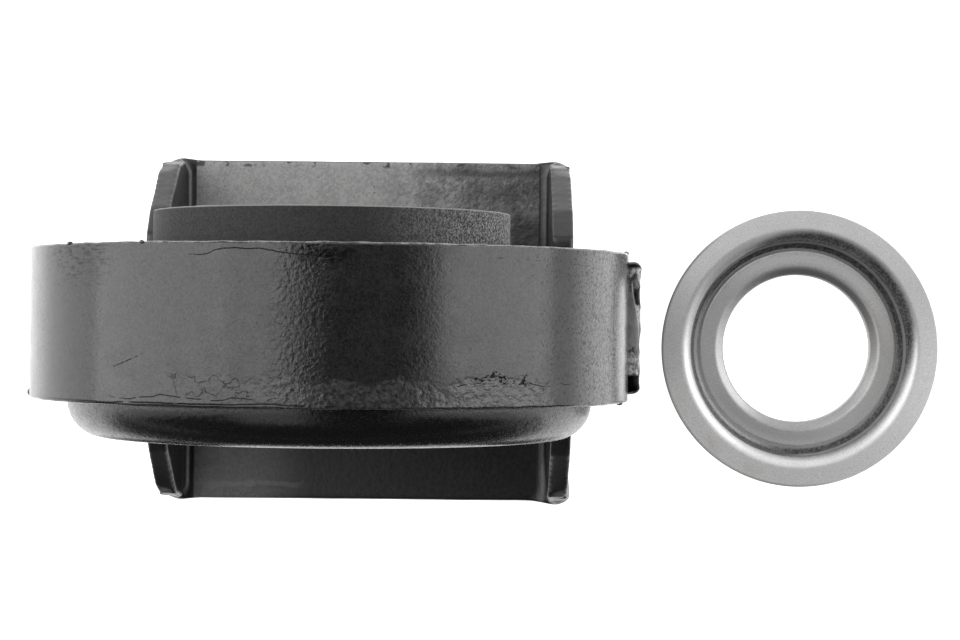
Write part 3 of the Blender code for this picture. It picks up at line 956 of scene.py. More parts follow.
# %% [markdown]
# ## Finishes
#
# Black paint over steel shows three scales at once: slow waves that bend the reflections, the
# fine dimples of sprayed paint, and grains and pits of dirt under it. One group gives all three
# as heights, and each painted piece sets its own amounts.


# %% Paint surface group
def build_paint_surface():
    """Heights of slow waves, dimples and grains on a painted surface."""
    inputs = {"Wave size": 0.012, "Dimple size": 0.0012, "Grain size": 0.0004, "Grain share": 0.3}
    group, given, target = new_group("paint_surface", inputs, ["Waves", "Dimples", "Grains", "Cells"])
    place = group.nodes.new("ShaderNodeTexCoord").outputs["Object"]
    waves = add_node(group, "ShaderNodeTexNoise", {"Vector": place, "Detail": 1.0})
    group.links.new(calc(group, "DIVIDE", 1.0, given["Wave size"]), waves.inputs["Scale"])
    dimples = add_node(group, "ShaderNodeTexNoise", {"Vector": place, "Detail": 2.0})
    group.links.new(calc(group, "DIVIDE", 1.0, given["Dimple size"]), dimples.inputs["Scale"])
    grains = add_node(group, "ShaderNodeTexVoronoi", {"Vector": place, "Randomness": 1.0})
    group.links.new(calc(group, "DIVIDE", 1.0, given["Grain size"]), grains.inputs["Scale"])
    spread = add_node(group, "ShaderNodeSeparateColor", {"Color": grains.outputs["Color"]})
    chosen = calc(group, "LESS_THAN", spread.outputs[0], given["Grain share"])
    dome = ramp(group, grains.outputs["Distance"], 0.0, 0.45, 1.0, 0.0)
    group.links.new(waves.outputs[0], target.inputs["Waves"])
    group.links.new(dimples.outputs[0], target.inputs["Dimples"])
    group.links.new(calc(group, "MULTIPLY", dome, chosen), target.inputs["Grains"])
    group.links.new(spread.outputs[1], target.inputs["Cells"])
    return group


print("paint group:", build_paint_surface().name)


# %% [markdown]
# The band's paint also has a history: fine cracks that wander along it, a strip along its rear
# rim where paint was laid over a rough scar, and chips along the front rim. A crack is drawn as
# the distance to a line that noise pushes to and fro, and is broken up by a second noise.


# %% Crack group
def build_wandering_crack():
    """A thin line along one direction, pushed sideways by noise and broken by another."""
    inputs = {
        "Along": 0.0,
        "Across": 0.0,
        "Place": 0.0,
        "Wobble": 0.001,
        "Length": 0.01,
        "Width": 0.0002,
        "Seed": 0.0,
        "Whole": 0.5,
    }
    group, given, target = new_group("wandering_crack", inputs, ["Crack"])
    steps = calc(group, "DIVIDE", given["Along"], given["Length"])
    steps = calc(group, "ADD", steps, given["Seed"])
    kind = "ShaderNodeTexNoise"
    push = add_node(group, kind, {"W": steps, "Scale": 1.0, "Detail": 4.0}, noise_dimensions="1D")
    faster = calc(group, "MULTIPLY_ADD", steps, 2.3, 31.7)
    gaps = add_node(group, kind, {"W": faster, "Scale": 1.0, "Detail": 2.0}, noise_dimensions="1D")
    shift = calc(group, "SUBTRACT", push.outputs[0], 0.5)
    line = calc(group, "MULTIPLY_ADD", shift, given["Wobble"], given["Place"])
    away = calc(group, "ABSOLUTE", calc(group, "SUBTRACT", given["Across"], line))
    inside = calc(group, "SUBTRACT", 1.0, calc(group, "DIVIDE", away, given["Width"]), clamp=True)
    kept = calc(group, "SUBTRACT", given["Whole"], gaps.outputs[0])
    kept = calc(group, "MULTIPLY_ADD", kept, 12.0, 0.5, clamp=True)
    group.links.new(calc(group, "MULTIPLY", inside, kept), target.inputs["Crack"])
    return group


print("crack group:", build_wandering_crack().name)


# %% Painted finishes
def start_paint(name, color, roughness, waves, dimples, grains, **sizes):
    """A black paint; waves, dimples and grains are their depths in micrometres."""
    material, tree, shader = new_material(name, color, roughness)
    heights = place_group(tree, "paint_surface", **sizes)
    total = calc(tree, "MULTIPLY", heights["Waves"], waves)
    total = calc(tree, "MULTIPLY_ADD", heights["Dimples"], dimples, total)
    total = calc(tree, "MULTIPLY_ADD", heights["Grains"], grains, total)
    dull = ramp(tree, heights["Dimples"], 0.3, 0.7, roughness - 0.04, roughness + 0.06)
    tree.links.new(dull, shader.inputs["Roughness"])
    return material, tree, shader, total


def make_paint(name, *values, **sizes):
    """A paint with nothing but its own surface."""
    material, tree, shader, total = start_paint(name, *values, **sizes)
    connect_bump(tree, shader, total, 1e-6)
    return material


def window(tree, value, low, high, soft):
    """One between two limits, fading to zero over a soft edge at each."""
    rise = ramp(tree, value, low - soft, low + soft)
    fall = ramp(tree, value, high - soft, high + soft, 1.0, 0.0)
    return calc(tree, "MULTIPLY", rise, fall)


def make_band_paint():
    """The band's paint, with cracks, the scarred strip, the chipped front rim and a painted highlight on both sides.

    Soot in cracks and smears, painted shade in small pits and a darker strip right of the middle must swallow light: a
    metal of black colour reflects nothing."""
    color = (0.011, 0.011, 0.012)
    material, tree, shader, total = start_paint(
        "band_paint", color, 0.17, 50.0, 12.0, 9.0, dimple_size=0.0007, grain_size=0.0006, grain_share=0.8
    )
    place = tree.nodes.new("ShaderNodeTexCoord").outputs["Object"]
    split = add_node(tree, "ShaderNodeSeparateXYZ", {0: place})
    x, y, z = split.outputs["X"], split.outputs["Y"], split.outputs["Z"]
    topside = ramp(tree, z, shaft_height, shaft_height + 0.005)
    kind = "ShaderNodeTexNoise"

    pebbles = place_group(tree, "paint_surface", dimple_size=0.0008)["Dimples"]
    depth = ramp(tree, x, -0.012, 0.003, 15.0, 0.0)
    depth = calc(tree, "MULTIPLY_ADD", window(tree, x, -0.0075, 0.0050, 0.003), 95.0, depth)
    depth = calc(tree, "MULTIPLY_ADD", window(tree, x, 0.016, 0.024, 0.002), 50.0, depth)
    total = calc(tree, "MULTIPLY_ADD", pebbles, depth, total)

    edge = add_node(tree, kind, {"Vector": place, "Scale": 260.0, "Detail": 3.0})
    drift = calc(tree, "SUBTRACT", edge.outputs[0], 0.5)
    ragged = calc(tree, "MULTIPLY_ADD", drift, 0.007, y)
    scar = ramp(tree, ragged, -0.0106, -0.0094, 1.0, 0.0)
    scar = calc(tree, "MULTIPLY", scar, ramp(tree, x, -0.020, 0.000, 0.15, 1.0))
    scar = calc(tree, "MULTIPLY", scar, window(tree, x, -0.040, 0.045, 0.005))
    lumps = add_node(tree, kind, {"Vector": place, "Scale": 620.0, "Detail": 3.0})
    lifted = calc(tree, "MULTIPLY_ADD", lumps.outputs[0], 210.0, -130.0)
    total = calc(tree, "MULTIPLY_ADD", scar, lifted, total)

    loops = add_node(tree, kind, {"Vector": place, "Scale": 200.0, "Detail": 4.0})
    contour = calc(tree, "ABSOLUTE", calc(tree, "SUBTRACT", loops.outputs[0], 0.52))
    contour = ramp(tree, contour, 0.004, 0.014, 1.0, 0.0)
    strip = window(tree, y, -0.0136, -0.0092, 0.0004)
    strip = calc(tree, "MULTIPLY", strip, window(tree, x, -0.0265, -0.008, 0.0015))
    crack = calc(tree, "MULTIPLY", calc(tree, "MULTIPLY", contour, strip), 0.60)
    arch = ramp(tree, x, -0.022, -0.014, 0.0131, 0.0141)
    arch = calc(tree, "ADD", arch, ramp(tree, x, -0.014, 0.006, 0.0, -0.0015))
    for line, wobble, length, width, seed, whole, start, end in (
        (arch, 0.0016, 0.006, 0.00013, 3.1, 0.80, -0.0220, 0.0040),
        (0.0128, 0.0030, 0.016, 0.00008, 9.4, 0.46, 0.0260, 0.0560),
        (-0.0138, 0.0020, 0.008, 0.00013, 18.9, 0.60, -0.0380, -0.0060),
        (-0.0149, 0.0010, 0.016, 0.00024, 25.1, 0.66, -0.0560, 0.0050),
        (-0.0110, 0.0034, 0.007, 0.00014, 33.0, 0.50, 0.0240, 0.0500),
    ):
        values = dict(place=line, wobble=wobble, length=length, width=width, seed=seed, whole=whole)
        one = place_group(tree, "wandering_crack", along=x, across=y, **values)["Crack"]
        one = calc(tree, "MULTIPLY", one, window(tree, x, start, end, 0.003))
        crack = calc(tree, "MAXIMUM", crack, one)
    slope = calc(tree, "MULTIPLY_ADD", x, 0.405, calc(tree, "SUBTRACT", 0.00723, y))
    scratch = ramp(tree, calc(tree, "ABSOLUTE", slope), 0.00004, 0.00014, 0.8, 0.0)
    broken = add_node(tree, kind, {"Vector": place, "Scale": 1300.0, "Detail": 2.0})
    scratch = calc(tree, "MULTIPLY", scratch, ramp(tree, broken.outputs[0], 0.38, 0.55))
    scratch = calc(tree, "MULTIPLY", scratch, window(tree, x, -0.0381, -0.0318, 0.0006))
    crack = calc(tree, "MAXIMUM", crack, scratch)
    # The crumbs along the right of the scar are small pits. They are painted black as the shade that falls in them.
    shaded_pits = calc(tree, "MULTIPLY", window(tree, x, 0.0290, 0.0410, 0.0008), window(tree, ragged, -0.0112, -0.0094, 0.0003))
    shaded_pits = calc(tree, "MULTIPLY", shaded_pits, ramp(tree, lumps.outputs[0], 0.50, 0.55))
    bits = add_node(tree, kind, {"Vector": place, "Scale": 1500.0, "Detail": 1.0})
    shaded_pits = calc(tree, "MULTIPLY", shaded_pits, ramp(tree, bits.outputs[0], 0.38, 0.58, 0.0, 0.95))
    crack = calc(tree, "MAXIMUM", crack, shaded_pits)
    total = calc(tree, "MULTIPLY_ADD", crack, -45.0, total)

    drawn = add_node(tree, "ShaderNodeMapping", {"Vector": place, "Scale": (600.0, 2200.0, 500.0)})
    smear = add_node(tree, kind, {"Vector": drawn.outputs[0], "Scale": 1.0, "Detail": 3.0})
    rub = ramp(tree, calc(tree, "MULTIPLY_ADD", drift, 0.010, y), 0.0020, 0.0150, 0.06, 0.62)
    rub = calc(tree, "MULTIPLY", rub, window(tree, x, -0.0530, -0.0400, 0.0050))
    rub = calc(tree, "MULTIPLY", rub, ramp(tree, smear.outputs[0], 0.40, 0.66))
    rub = calc(tree, "MULTIPLY", rub, topside)
    connect_bump(tree, shader, calc(tree, "MULTIPLY_ADD", rub, -40.0, total), 1e-6)
    dull = ramp(tree, edge.outputs[0], 0.3, 0.7, 0.15, 0.22)
    dull = calc(tree, "MULTIPLY_ADD", rub, 0.20, dull, clamp=True)
    tree.links.new(dull, shader.inputs["Roughness"])

    cells = place_group(tree, "paint_surface", grain_size=0.00036)["Cells"]
    # Towards both sides of the band, where the side lamps light it, the speckled tone turns light grey. This is a
    # painted highlight over the paint's grain, a little weaker on the left.
    side = calc(tree, "MAXIMUM", ramp(tree, x, 0.048, 0.056), ramp(tree, x, -0.059, -0.052, 0.7, 0.0))
    center = window(tree, x, -0.002, 0.021, 0.006)
    thick = tint(tree, side, tint(tree, center, (0.032,) * 3, (0.024,) * 3), (0.24, 0.24, 0.24))
    thin = tint(tree, side, tint(tree, center, (0.006,) * 3, (0.010,) * 3), (0.08, 0.08, 0.08))
    tone = tint(tree, cells, thin, thick)
    dusted = calc(tree, "MULTIPLY", scar, ramp(tree, broken.outputs[0], 0.36, 0.64, 0.10, 0.70))
    tone = tint(tree, dusted, tone, (0.075, 0.075, 0.075))
    patch = calc(tree, "MULTIPLY", ramp(tree, x, 0.0590, 0.0602), window(tree, y, 0.0092, 0.0150, 0.0012))
    patch = calc(tree, "MULTIPLY", patch, ramp(tree, broken.outputs[0], 0.40, 0.50, 0.0, 0.8))
    patch = calc(tree, "MULTIPLY", patch, topside)
    smear = window(tree, calc(tree, "MULTIPLY_ADD", drift, 0.006, y), 0.0118, 0.0146, 0.0006)
    smear = calc(tree, "MULTIPLY", smear, window(tree, x, -0.0030, 0.0080, 0.0020))
    smear = calc(tree, "MULTIPLY", smear, ramp(tree, broken.outputs[0], 0.28, 0.66, 0.1, 0.6))
    smear = calc(tree, "MULTIPLY", smear, topside)
    specks = calc(tree, "LESS_THAN", cells, ramp(tree, x, 0.036, 0.056, 0.025, 0.15))
    # Black metal takes all reflection away here: soot in specks, cracks, rubs, a patch and smears, and painted shade in
    # the crumbs' pits.
    soot_and_painted_shade = calc(tree, "MULTIPLY", specks, ramp(tree, x, 0.030, 0.055, 0.16, 0.50))
    soot_and_painted_shade = calc(tree, "MULTIPLY", soot_and_painted_shade, topside)
    # A little black metal over the whole band makes its reflection darker. There is more in a strip right of the middle
    # and most just inside the right side.
    darker_strip = calc(tree, "MULTIPLY_ADD", window(tree, x, 0.022, 0.046, 0.006), 0.09, 0.07)
    darker_strip = calc(tree, "MULTIPLY_ADD", window(tree, x, 0.0445, 0.0505, 0.0025), 0.14, darker_strip)
    soot_and_painted_shade = calc(tree, "MAXIMUM", soot_and_painted_shade, darker_strip)
    for mask in (crack, rub, patch, smear):
        soot_and_painted_shade = calc(tree, "MAXIMUM", soot_and_painted_shade, mask)
    chips = add_node(tree, kind, {"Vector": place, "Scale": 620.0, "Detail": 5.0})
    bare = ramp(tree, chips.outputs[0], 0.36, 0.66)
    bare = calc(tree, "MULTIPLY", bare, ramp(tree, y, 0.01505, 0.01540))
    flat = add_node(tree, "ShaderNodeVectorMath", {0: place, 1: (0.0, 0.0, shaft_height)}, operation="SUBTRACT")
    flat = add_node(tree, "ShaderNodeVectorMath", {0: flat.outputs[0], 1: (1.0, 0.0, 1.0)}, operation="MULTIPLY")
    radius = add_node(tree, "ShaderNodeVectorMath", {0: flat.outputs[0]}, operation="LENGTH").outputs["Value"]
    bare = calc(tree, "MULTIPLY", bare, ramp(tree, radius, band_radius - 0.0008, band_radius - 0.0003))
    tone = tint(tree, bare, tone, (0.27, 0.27, 0.265))
    tree.links.new(tint(tree, soot_and_painted_shade, tone, (0.001, 0.001, 0.001)), shader.inputs["Base Color"])
    tree.links.new(soot_and_painted_shade, shader.inputs["Metallic"])
    return material


def make_plate_paint():
    """The bracket's paint, with grey dust on the plate that is also painted sheen, thick in front and thin behind,
    painted relief shade, a painted highlight along a bend and painted shade on the bent-up sides behind.
    """
    color = (0.010, 0.010, 0.010)
    material, tree, shader, total = start_paint(
        "plate_paint", color, 0.32, 20.0, 30.0, -20.0, dimple_size=0.0010, grain_share=0.06
    )
    place = tree.nodes.new("ShaderNodeTexCoord").outputs["Object"]
    split = add_node(tree, "ShaderNodeSeparateXYZ", {0: place})
    x, y, z = split.outputs["X"], split.outputs["Y"], split.outputs["Z"]
    kind = "ShaderNodeTexNoise"
    across = calc(tree, "ABSOLUTE", calc(tree, "SUBTRACT", x, plate_x))
    floor_share = calc(tree, "MULTIPLY", ramp(tree, across, 0.0412, 0.0416, 1.0, 0.0), ramp(tree, z, 0.0044, 0.0046))
    pebbles = place_group(tree, "paint_surface", dimple_size=0.0014)["Dimples"]
    depth = calc(tree, "MULTIPLY", ramp(tree, x, 0.004, 0.026, 0.0, 150.0), ramp(tree, y, 0.0, 0.004))
    total = calc(tree, "MULTIPLY_ADD", pebbles, calc(tree, "MULTIPLY", depth, floor_share), total)
    connect_bump(tree, shader, total, 1e-6)
    # The dust is also painted sheen. It is thicker in front and to the left, and thinner to the right and behind,
    # standing for the light those parts of the plate reflect.
    front = calc(tree, "MULTIPLY", ramp(tree, y, 0.0, 0.004), ramp(tree, x, 0.010, 0.040, 1.0, 0.55))
    rear = calc(tree, "MULTIPLY", ramp(tree, y, -0.004, 0.0, 0.42, 0.0), ramp(tree, x, -0.026, -0.008, 1.0, 0.0))
    dust = calc(tree, "MULTIPLY", floor_share, calc(tree, "ADD", front, rear))
    grain = add_node(tree, kind, {"Vector": place, "Scale": 3000.0, "Detail": 3.0})
    cloud = add_node(tree, kind, {"Vector": place, "Scale": 170.0, "Detail": 6.0, "Roughness": 0.65})
    cells = place_group(tree, "paint_surface", grain_size=0.00046)["Cells"]
    dust = calc(tree, "MULTIPLY", dust, ramp(tree, cells, 0.0, 1.0, 0.80, 1.08))
    thin = ramp(tree, x, 0.0, 0.030, 0.88, 0.45)
    dust = calc(tree, "MULTIPLY", dust, ramp(tree, cloud.outputs[0], 0.36, 0.60, thin, 1.0))
    specks = place_group(tree, "paint_surface", grain_size=0.0009, grain_share=0.035)["Grains"]
    bitten = ramp(tree, calc(tree, "MULTIPLY", specks, grain.outputs[0]), 0.25, 0.40, 1.0, 0.15)
    dust = calc(tree, "MULTIPLY", dust, bitten)
    nicks = add_node(tree, kind, {"Vector": place, "Scale": 380.0, "Detail": 2.0})
    nicks = calc(tree, "MULTIPLY", ramp(tree, nicks.outputs[0], 0.58, 0.64), ramp(tree, y, 0.0374, 0.0382, 0.0, 0.9))
    dust = calc(tree, "MULTIPLY", dust, calc(tree, "SUBTRACT", 1.0, nicks))
    frayed = calc(tree, "MULTIPLY_ADD", cloud.outputs[0], 0.003, calc(tree, "SUBTRACT", y, 0.0015))
    streak = calc(tree, "MULTIPLY", window(tree, frayed, 0.0358, 0.0376, 0.0008), ramp(tree, x, 0.006, 0.030))
    corner = calc(tree, "MULTIPLY", ramp(tree, x, 0.036, 0.040), ramp(tree, frayed, 0.022, 0.030, 1.0, 0.0))
    # Diagonal strokes take dust away, with more of them to the right, as painted shade of the plate's relief. The
    # streak along the front edge and the front right corner take dust away too.
    turned = {"Vector": place, "Rotation": (0.0, 0.0, -0.8), "Scale": (0.0005, 0.0010, 0.0010)}
    relief_shade_strokes = add_node(tree, "ShaderNodeMapping", turned, vector_type="TEXTURE").outputs[0]
    relief_shade_strokes = add_node(tree, kind, {"Vector": relief_shade_strokes, "Scale": 1.0, "Detail": 2.0}).outputs[0]
    relief_shade_strokes = calc(tree, "MULTIPLY", ramp(tree, relief_shade_strokes, 0.36, 0.64, 1.0, 0.0), ramp(tree, x, 0.002, 0.026, 0.05, 0.62))
    bared_and_shaded = calc(tree, "MAXIMUM", calc(tree, "MAXIMUM", streak, corner), relief_shade_strokes)
    dust = calc(tree, "MULTIPLY", dust, calc(tree, "MULTIPLY_ADD", bared_and_shaded, -0.75, 1.0))
    frayed = calc(tree, "MULTIPLY_ADD", cloud.outputs[0], 0.004, calc(tree, "SUBTRACT", y, 0.002))
    wiped = window(tree, frayed, -0.0394, -0.0382, 0.0003)
    wiped = calc(tree, "MULTIPLY", wiped, window(tree, x, -0.034, -0.012, 0.003))
    dust = calc(tree, "MULTIPLY_ADD", wiped, 0.16, dust, clamp=True)
    behind = ramp(tree, y, -0.036, -0.031, 1.0, 0.0)
    # A light strip along the right wall's fold at the rear is a painted highlight.
    fold_highlight = calc(tree, "MULTIPLY", window(tree, x, plate_x + 0.0414, plate_x + 0.0430, 0.0004), behind)
    fold_highlight = calc(tree, "MULTIPLY", fold_highlight, ramp(tree, z, 0.0046, 0.0049))
    dust = calc(tree, "MAXIMUM", dust, calc(tree, "MULTIPLY", fold_highlight, 0.5))
    # Behind, the walls get some black metal and their inner edges much more. This painted shade takes their reflections
    # away.
    rear_wall_shade = calc(tree, "MULTIPLY", ramp(tree, z, 0.0085, 0.0105), behind)
    rim = window(tree, across, 0.0426, 0.0444, 0.0003)
    rear_wall_shade = calc(tree, "MULTIPLY", rear_wall_shade, calc(tree, "MULTIPLY_ADD", rim, 0.75, 0.15))
    tree.links.new(rear_wall_shade, shader.inputs["Metallic"])
    tree.links.new(tint(tree, dust, color, (0.355, 0.355, 0.352)), shader.inputs["Base Color"])
    return material


def make_collar_paint():
    """The collar's dull paint, full of light grains of dust, with a painted highlight along its front edge."""
    color = (0.009, 0.009, 0.009)
    material, tree, shader, total = start_paint(
        "collar_paint", color, 0.60, 20.0, 60.0, 50.0, dimple_size=0.0008, grain_share=0.35
    )
    shader.inputs["Specular IOR Level"].default_value = 0.26
    connect_bump(tree, shader, total, 1e-6)
    place = tree.nodes.new("ShaderNodeTexCoord").outputs["Object"]
    split = add_node(tree, "ShaderNodeSeparateXYZ", {0: place})
    cells = place_group(tree, "paint_surface", grain_size=0.00028)["Cells"]
    # The front edge of the collar is painted light grey as a painted highlight along its rim.
    painted_rim_highlight = ramp(tree, split.outputs["Y"], sleeve_front - 0.00035, sleeve_front - 0.00015)
    heavy = ramp(tree, split.outputs["X"], 0.008, 0.040)
    pale = tint(tree, heavy, (0.034, 0.034, 0.033), (0.34, 0.34, 0.335))
    sparse = calc(tree, "MULTIPLY_ADD", calc(tree, "SUBTRACT", ramp(tree, cells, 0.25, 1.0), cells), heavy, cells)
    tone = tint(tree, sparse, tint(tree, heavy, (0.014, 0.014, 0.014), (0.004, 0.004, 0.004)), pale)
    tree.links.new(tint(tree, painted_rim_highlight, tone, (0.26, 0.26, 0.256)), shader.inputs["Base Color"])
    return material


def make_shell_paint():
    """The dish's paint, lighter and grainy towards both ends of the dish: a painted highlight where the side lamps
    light it, broken into grains.
    """
    material, tree, shader, total = start_paint(
        "shell_paint", (0.010, 0.010, 0.010), 0.25, 20.0, 40.0, 25.0, dimple_size=0.0008, grain_share=0.30
    )
    connect_bump(tree, shader, total, 1e-6)
    place = tree.nodes.new("ShaderNodeTexCoord").outputs["Object"]
    x = add_node(tree, "ShaderNodeSeparateXYZ", {0: place}).outputs["X"]
    # The light grains are placed only at both ends of the dish, where the side lamps light it. They are a painted
    # highlight in the form of grit.
    grit_and_painted_light = place_group(tree, "paint_surface", grain_size=0.00040)["Cells"]
    ends = ramp(tree, calc(tree, "ABSOLUTE", x), 0.034, 0.052)
    grit_and_painted_light = calc(tree, "MULTIPLY", grit_and_painted_light, ends)
    tone = tint(tree, grit_and_painted_light, (0.008, 0.008, 0.008), (0.26, 0.26, 0.26))
    tree.links.new(tone, shader.inputs["Base Color"])
    return material


def make_seam_paint():
    """The seam bead, with its light and shade painted on: light facets as painted reflections, an S-shaped light line
    as a painted highlight, a dark recess and black ends as painted shade, light on its top half only.
    """
    material, tree, shader, total = start_paint(
        "seam_paint", (0.02, 0.02, 0.02), 0.36, 30.0, 20.0, 12.0, grain_share=0.15
    )
    shader.inputs["Specular IOR Level"].default_value = 0.25
    connect_bump(tree, shader, total, 1e-6)
    place = tree.nodes.new("ShaderNodeTexCoord").outputs["Object"]
    split = add_node(tree, "ShaderNodeSeparateXYZ", {0: place})
    x, y, z = split.outputs["X"], split.outputs["Y"], split.outputs["Z"]
    drawn = add_node(tree, "ShaderNodeMapping", {"Vector": place, "Scale": (600.0, 210.0, 300.0)})
    kind = "ShaderNodeTexVoronoi"
    cells = add_node(tree, kind, {"Vector": drawn.outputs[0], "Scale": 1.0})
    seams = add_node(tree, kind, {"Vector": drawn.outputs[0], "Scale": 1.0}, feature="DISTANCE_TO_EDGE")
    shade = add_node(tree, "ShaderNodeSeparateColor", {"Color": cells.outputs["Color"]})
    # Each facet gets a light tone of its own as painted reflections of the lamps. Grit breaks them up, and dark lines
    # run between the facets.
    painted_facet_light = ramp(tree, shade.outputs[0], 0.15, 0.85, 0.25, 1.0)
    painted_facet_light = calc(tree, "MULTIPLY", painted_facet_light, ramp(tree, seams.outputs["Distance"], 0.01, 0.10, 0.4, 1.0))
    grit_and_painted_light = add_node(tree, "ShaderNodeTexNoise", {"Vector": place, "Scale": 1800.0, "Detail": 3.0})
    painted_facet_light = calc(tree, "MULTIPLY", painted_facet_light, ramp(tree, grit_and_painted_light.outputs[0], 0.36, 0.58, 0.35, 1.0))
    line = ramp(tree, y, -0.0010, 0.0090, 0.0646, 0.0631)
    beyond = calc(tree, "SUBTRACT", x, line)
    plateau = calc(tree, "MULTIPLY", window(tree, y, -0.0040, 0.0075, 0.0004), ramp(tree, beyond, -0.0002, 0.0, 1.0, 0.0))
    painted_facet_light = calc(tree, "MULTIPLY_ADD", plateau, calc(tree, "SUBTRACT", 0.40, painted_facet_light), painted_facet_light)
    # A dark hollow beside the flat top is painted shade.
    shaded_hollow = calc(tree, "MULTIPLY", window(tree, y, 0.0044, 0.0084, 0.0006), ramp(tree, beyond, 0.0002, 0.0004))
    painted_facet_light = calc(tree, "MULTIPLY", painted_facet_light, calc(tree, "SUBTRACT", 1.0, shaded_hollow))
    # A light S-shaped line is a painted highlight along a ridge.
    ridge_highlight = ramp(tree, calc(tree, "ABSOLUTE", beyond), 0.0, 0.0002, 1.0, 0.0)
    ridge_highlight = calc(tree, "MULTIPLY", ridge_highlight, window(tree, y, -0.0020, 0.0095, 0.0010))
    painted_facet_light = calc(tree, "MAXIMUM", painted_facet_light, ridge_highlight)
    painted_facet_light = calc(tree, "MULTIPLY", painted_facet_light, window(tree, y, -0.0098, 0.0124, 0.0004))
    # Only the upper half, which faces the lamps, keeps the painted light; below it the bead stays dark.
    lit_upper_half = ramp(tree, z, shaft_height + 0.0006, shaft_height + 0.0022)
    painted_facet_light = calc(tree, "MULTIPLY_ADD", calc(tree, "SUBTRACT", painted_facet_light, 0.06), lit_upper_half, 0.06)
    # The two ends and the hollow get black metal, a painted shade that takes reflections away.
    ends = calc(tree, "SUBTRACT", 1.0, window(tree, y, -0.0098, 0.0124, 0.0004))
    swallow = calc(tree, "MULTIPLY", calc(tree, "MAXIMUM", ends, calc(tree, "MULTIPLY", shaded_hollow, 0.8)), lit_upper_half)
    tree.links.new(calc(tree, "MULTIPLY", swallow, 0.85), shader.inputs["Metallic"])
    tone = tint(tree, painted_facet_light, (0.003, 0.003, 0.003), (0.58, 0.58, 0.575))
    tree.links.new(tone, shader.inputs["Base Color"])
    return material


band_paint = make_band_paint()
plate_paint = make_plate_paint()
collar_paint = make_collar_paint()
shell_paint = make_shell_paint()
seam_paint = make_seam_paint()
bead_paint = make_paint("bead_paint", (0.022, 0.022, 0.022), 0.32, 30.0, 20.0, 12.0, grain_share=0.15)


def dress(piece, material):
    """Give a piece one material."""
    piece.data.materials.clear()
    piece.data.materials.append(material)


dress(band, band_paint)
dress(shell, shell_paint)
dress(bracket, plate_paint)
dress(sleeve, collar_paint)
dress(seam, seam_paint)

# %% [markdown]
# The bare steels differ in grain: turned and ground steel has fine rings round its axis, pressed
# sheet keeps the satin of the mill with faint blotches. Here each steel gets blotches and grain from noise.


# %% Steel and rubber finishes
def make_steel(name, color, roughness, blotch, speckle=0.05):
    """A satin steel with faint blotches and fine grain."""
    material, tree, shader = new_material(name, color, roughness, 1.0)
    place = tree.nodes.new("ShaderNodeTexCoord").outputs["Object"]
    cloud = add_node(tree, "ShaderNodeTexNoise", {"Vector": place, "Scale": 90.0, "Detail": 4.0})
    grain = add_node(tree, "ShaderNodeTexNoise", {"Vector": place, "Scale": 2400.0, "Detail": 2.0})
    tone = ramp(tree, cloud.outputs[0], 0.3, 0.7, 1.0 - blotch, 1.0)
    tone = calc(tree, "MULTIPLY", tone, ramp(tree, grain.outputs[0], 0.25, 0.65, 1.0 - speckle, 1.0))
    tree.links.new(tint(tree, tone, (0.0, 0.0, 0.0), color), shader.inputs["Base Color"])
    dull = ramp(tree, cloud.outputs[0], 0.3, 0.7, roughness + 0.05, roughness - 0.03)
    tree.links.new(dull, shader.inputs["Roughness"])
    connect_bump(tree, shader, grain.outputs[0], 3e-6)
    return material


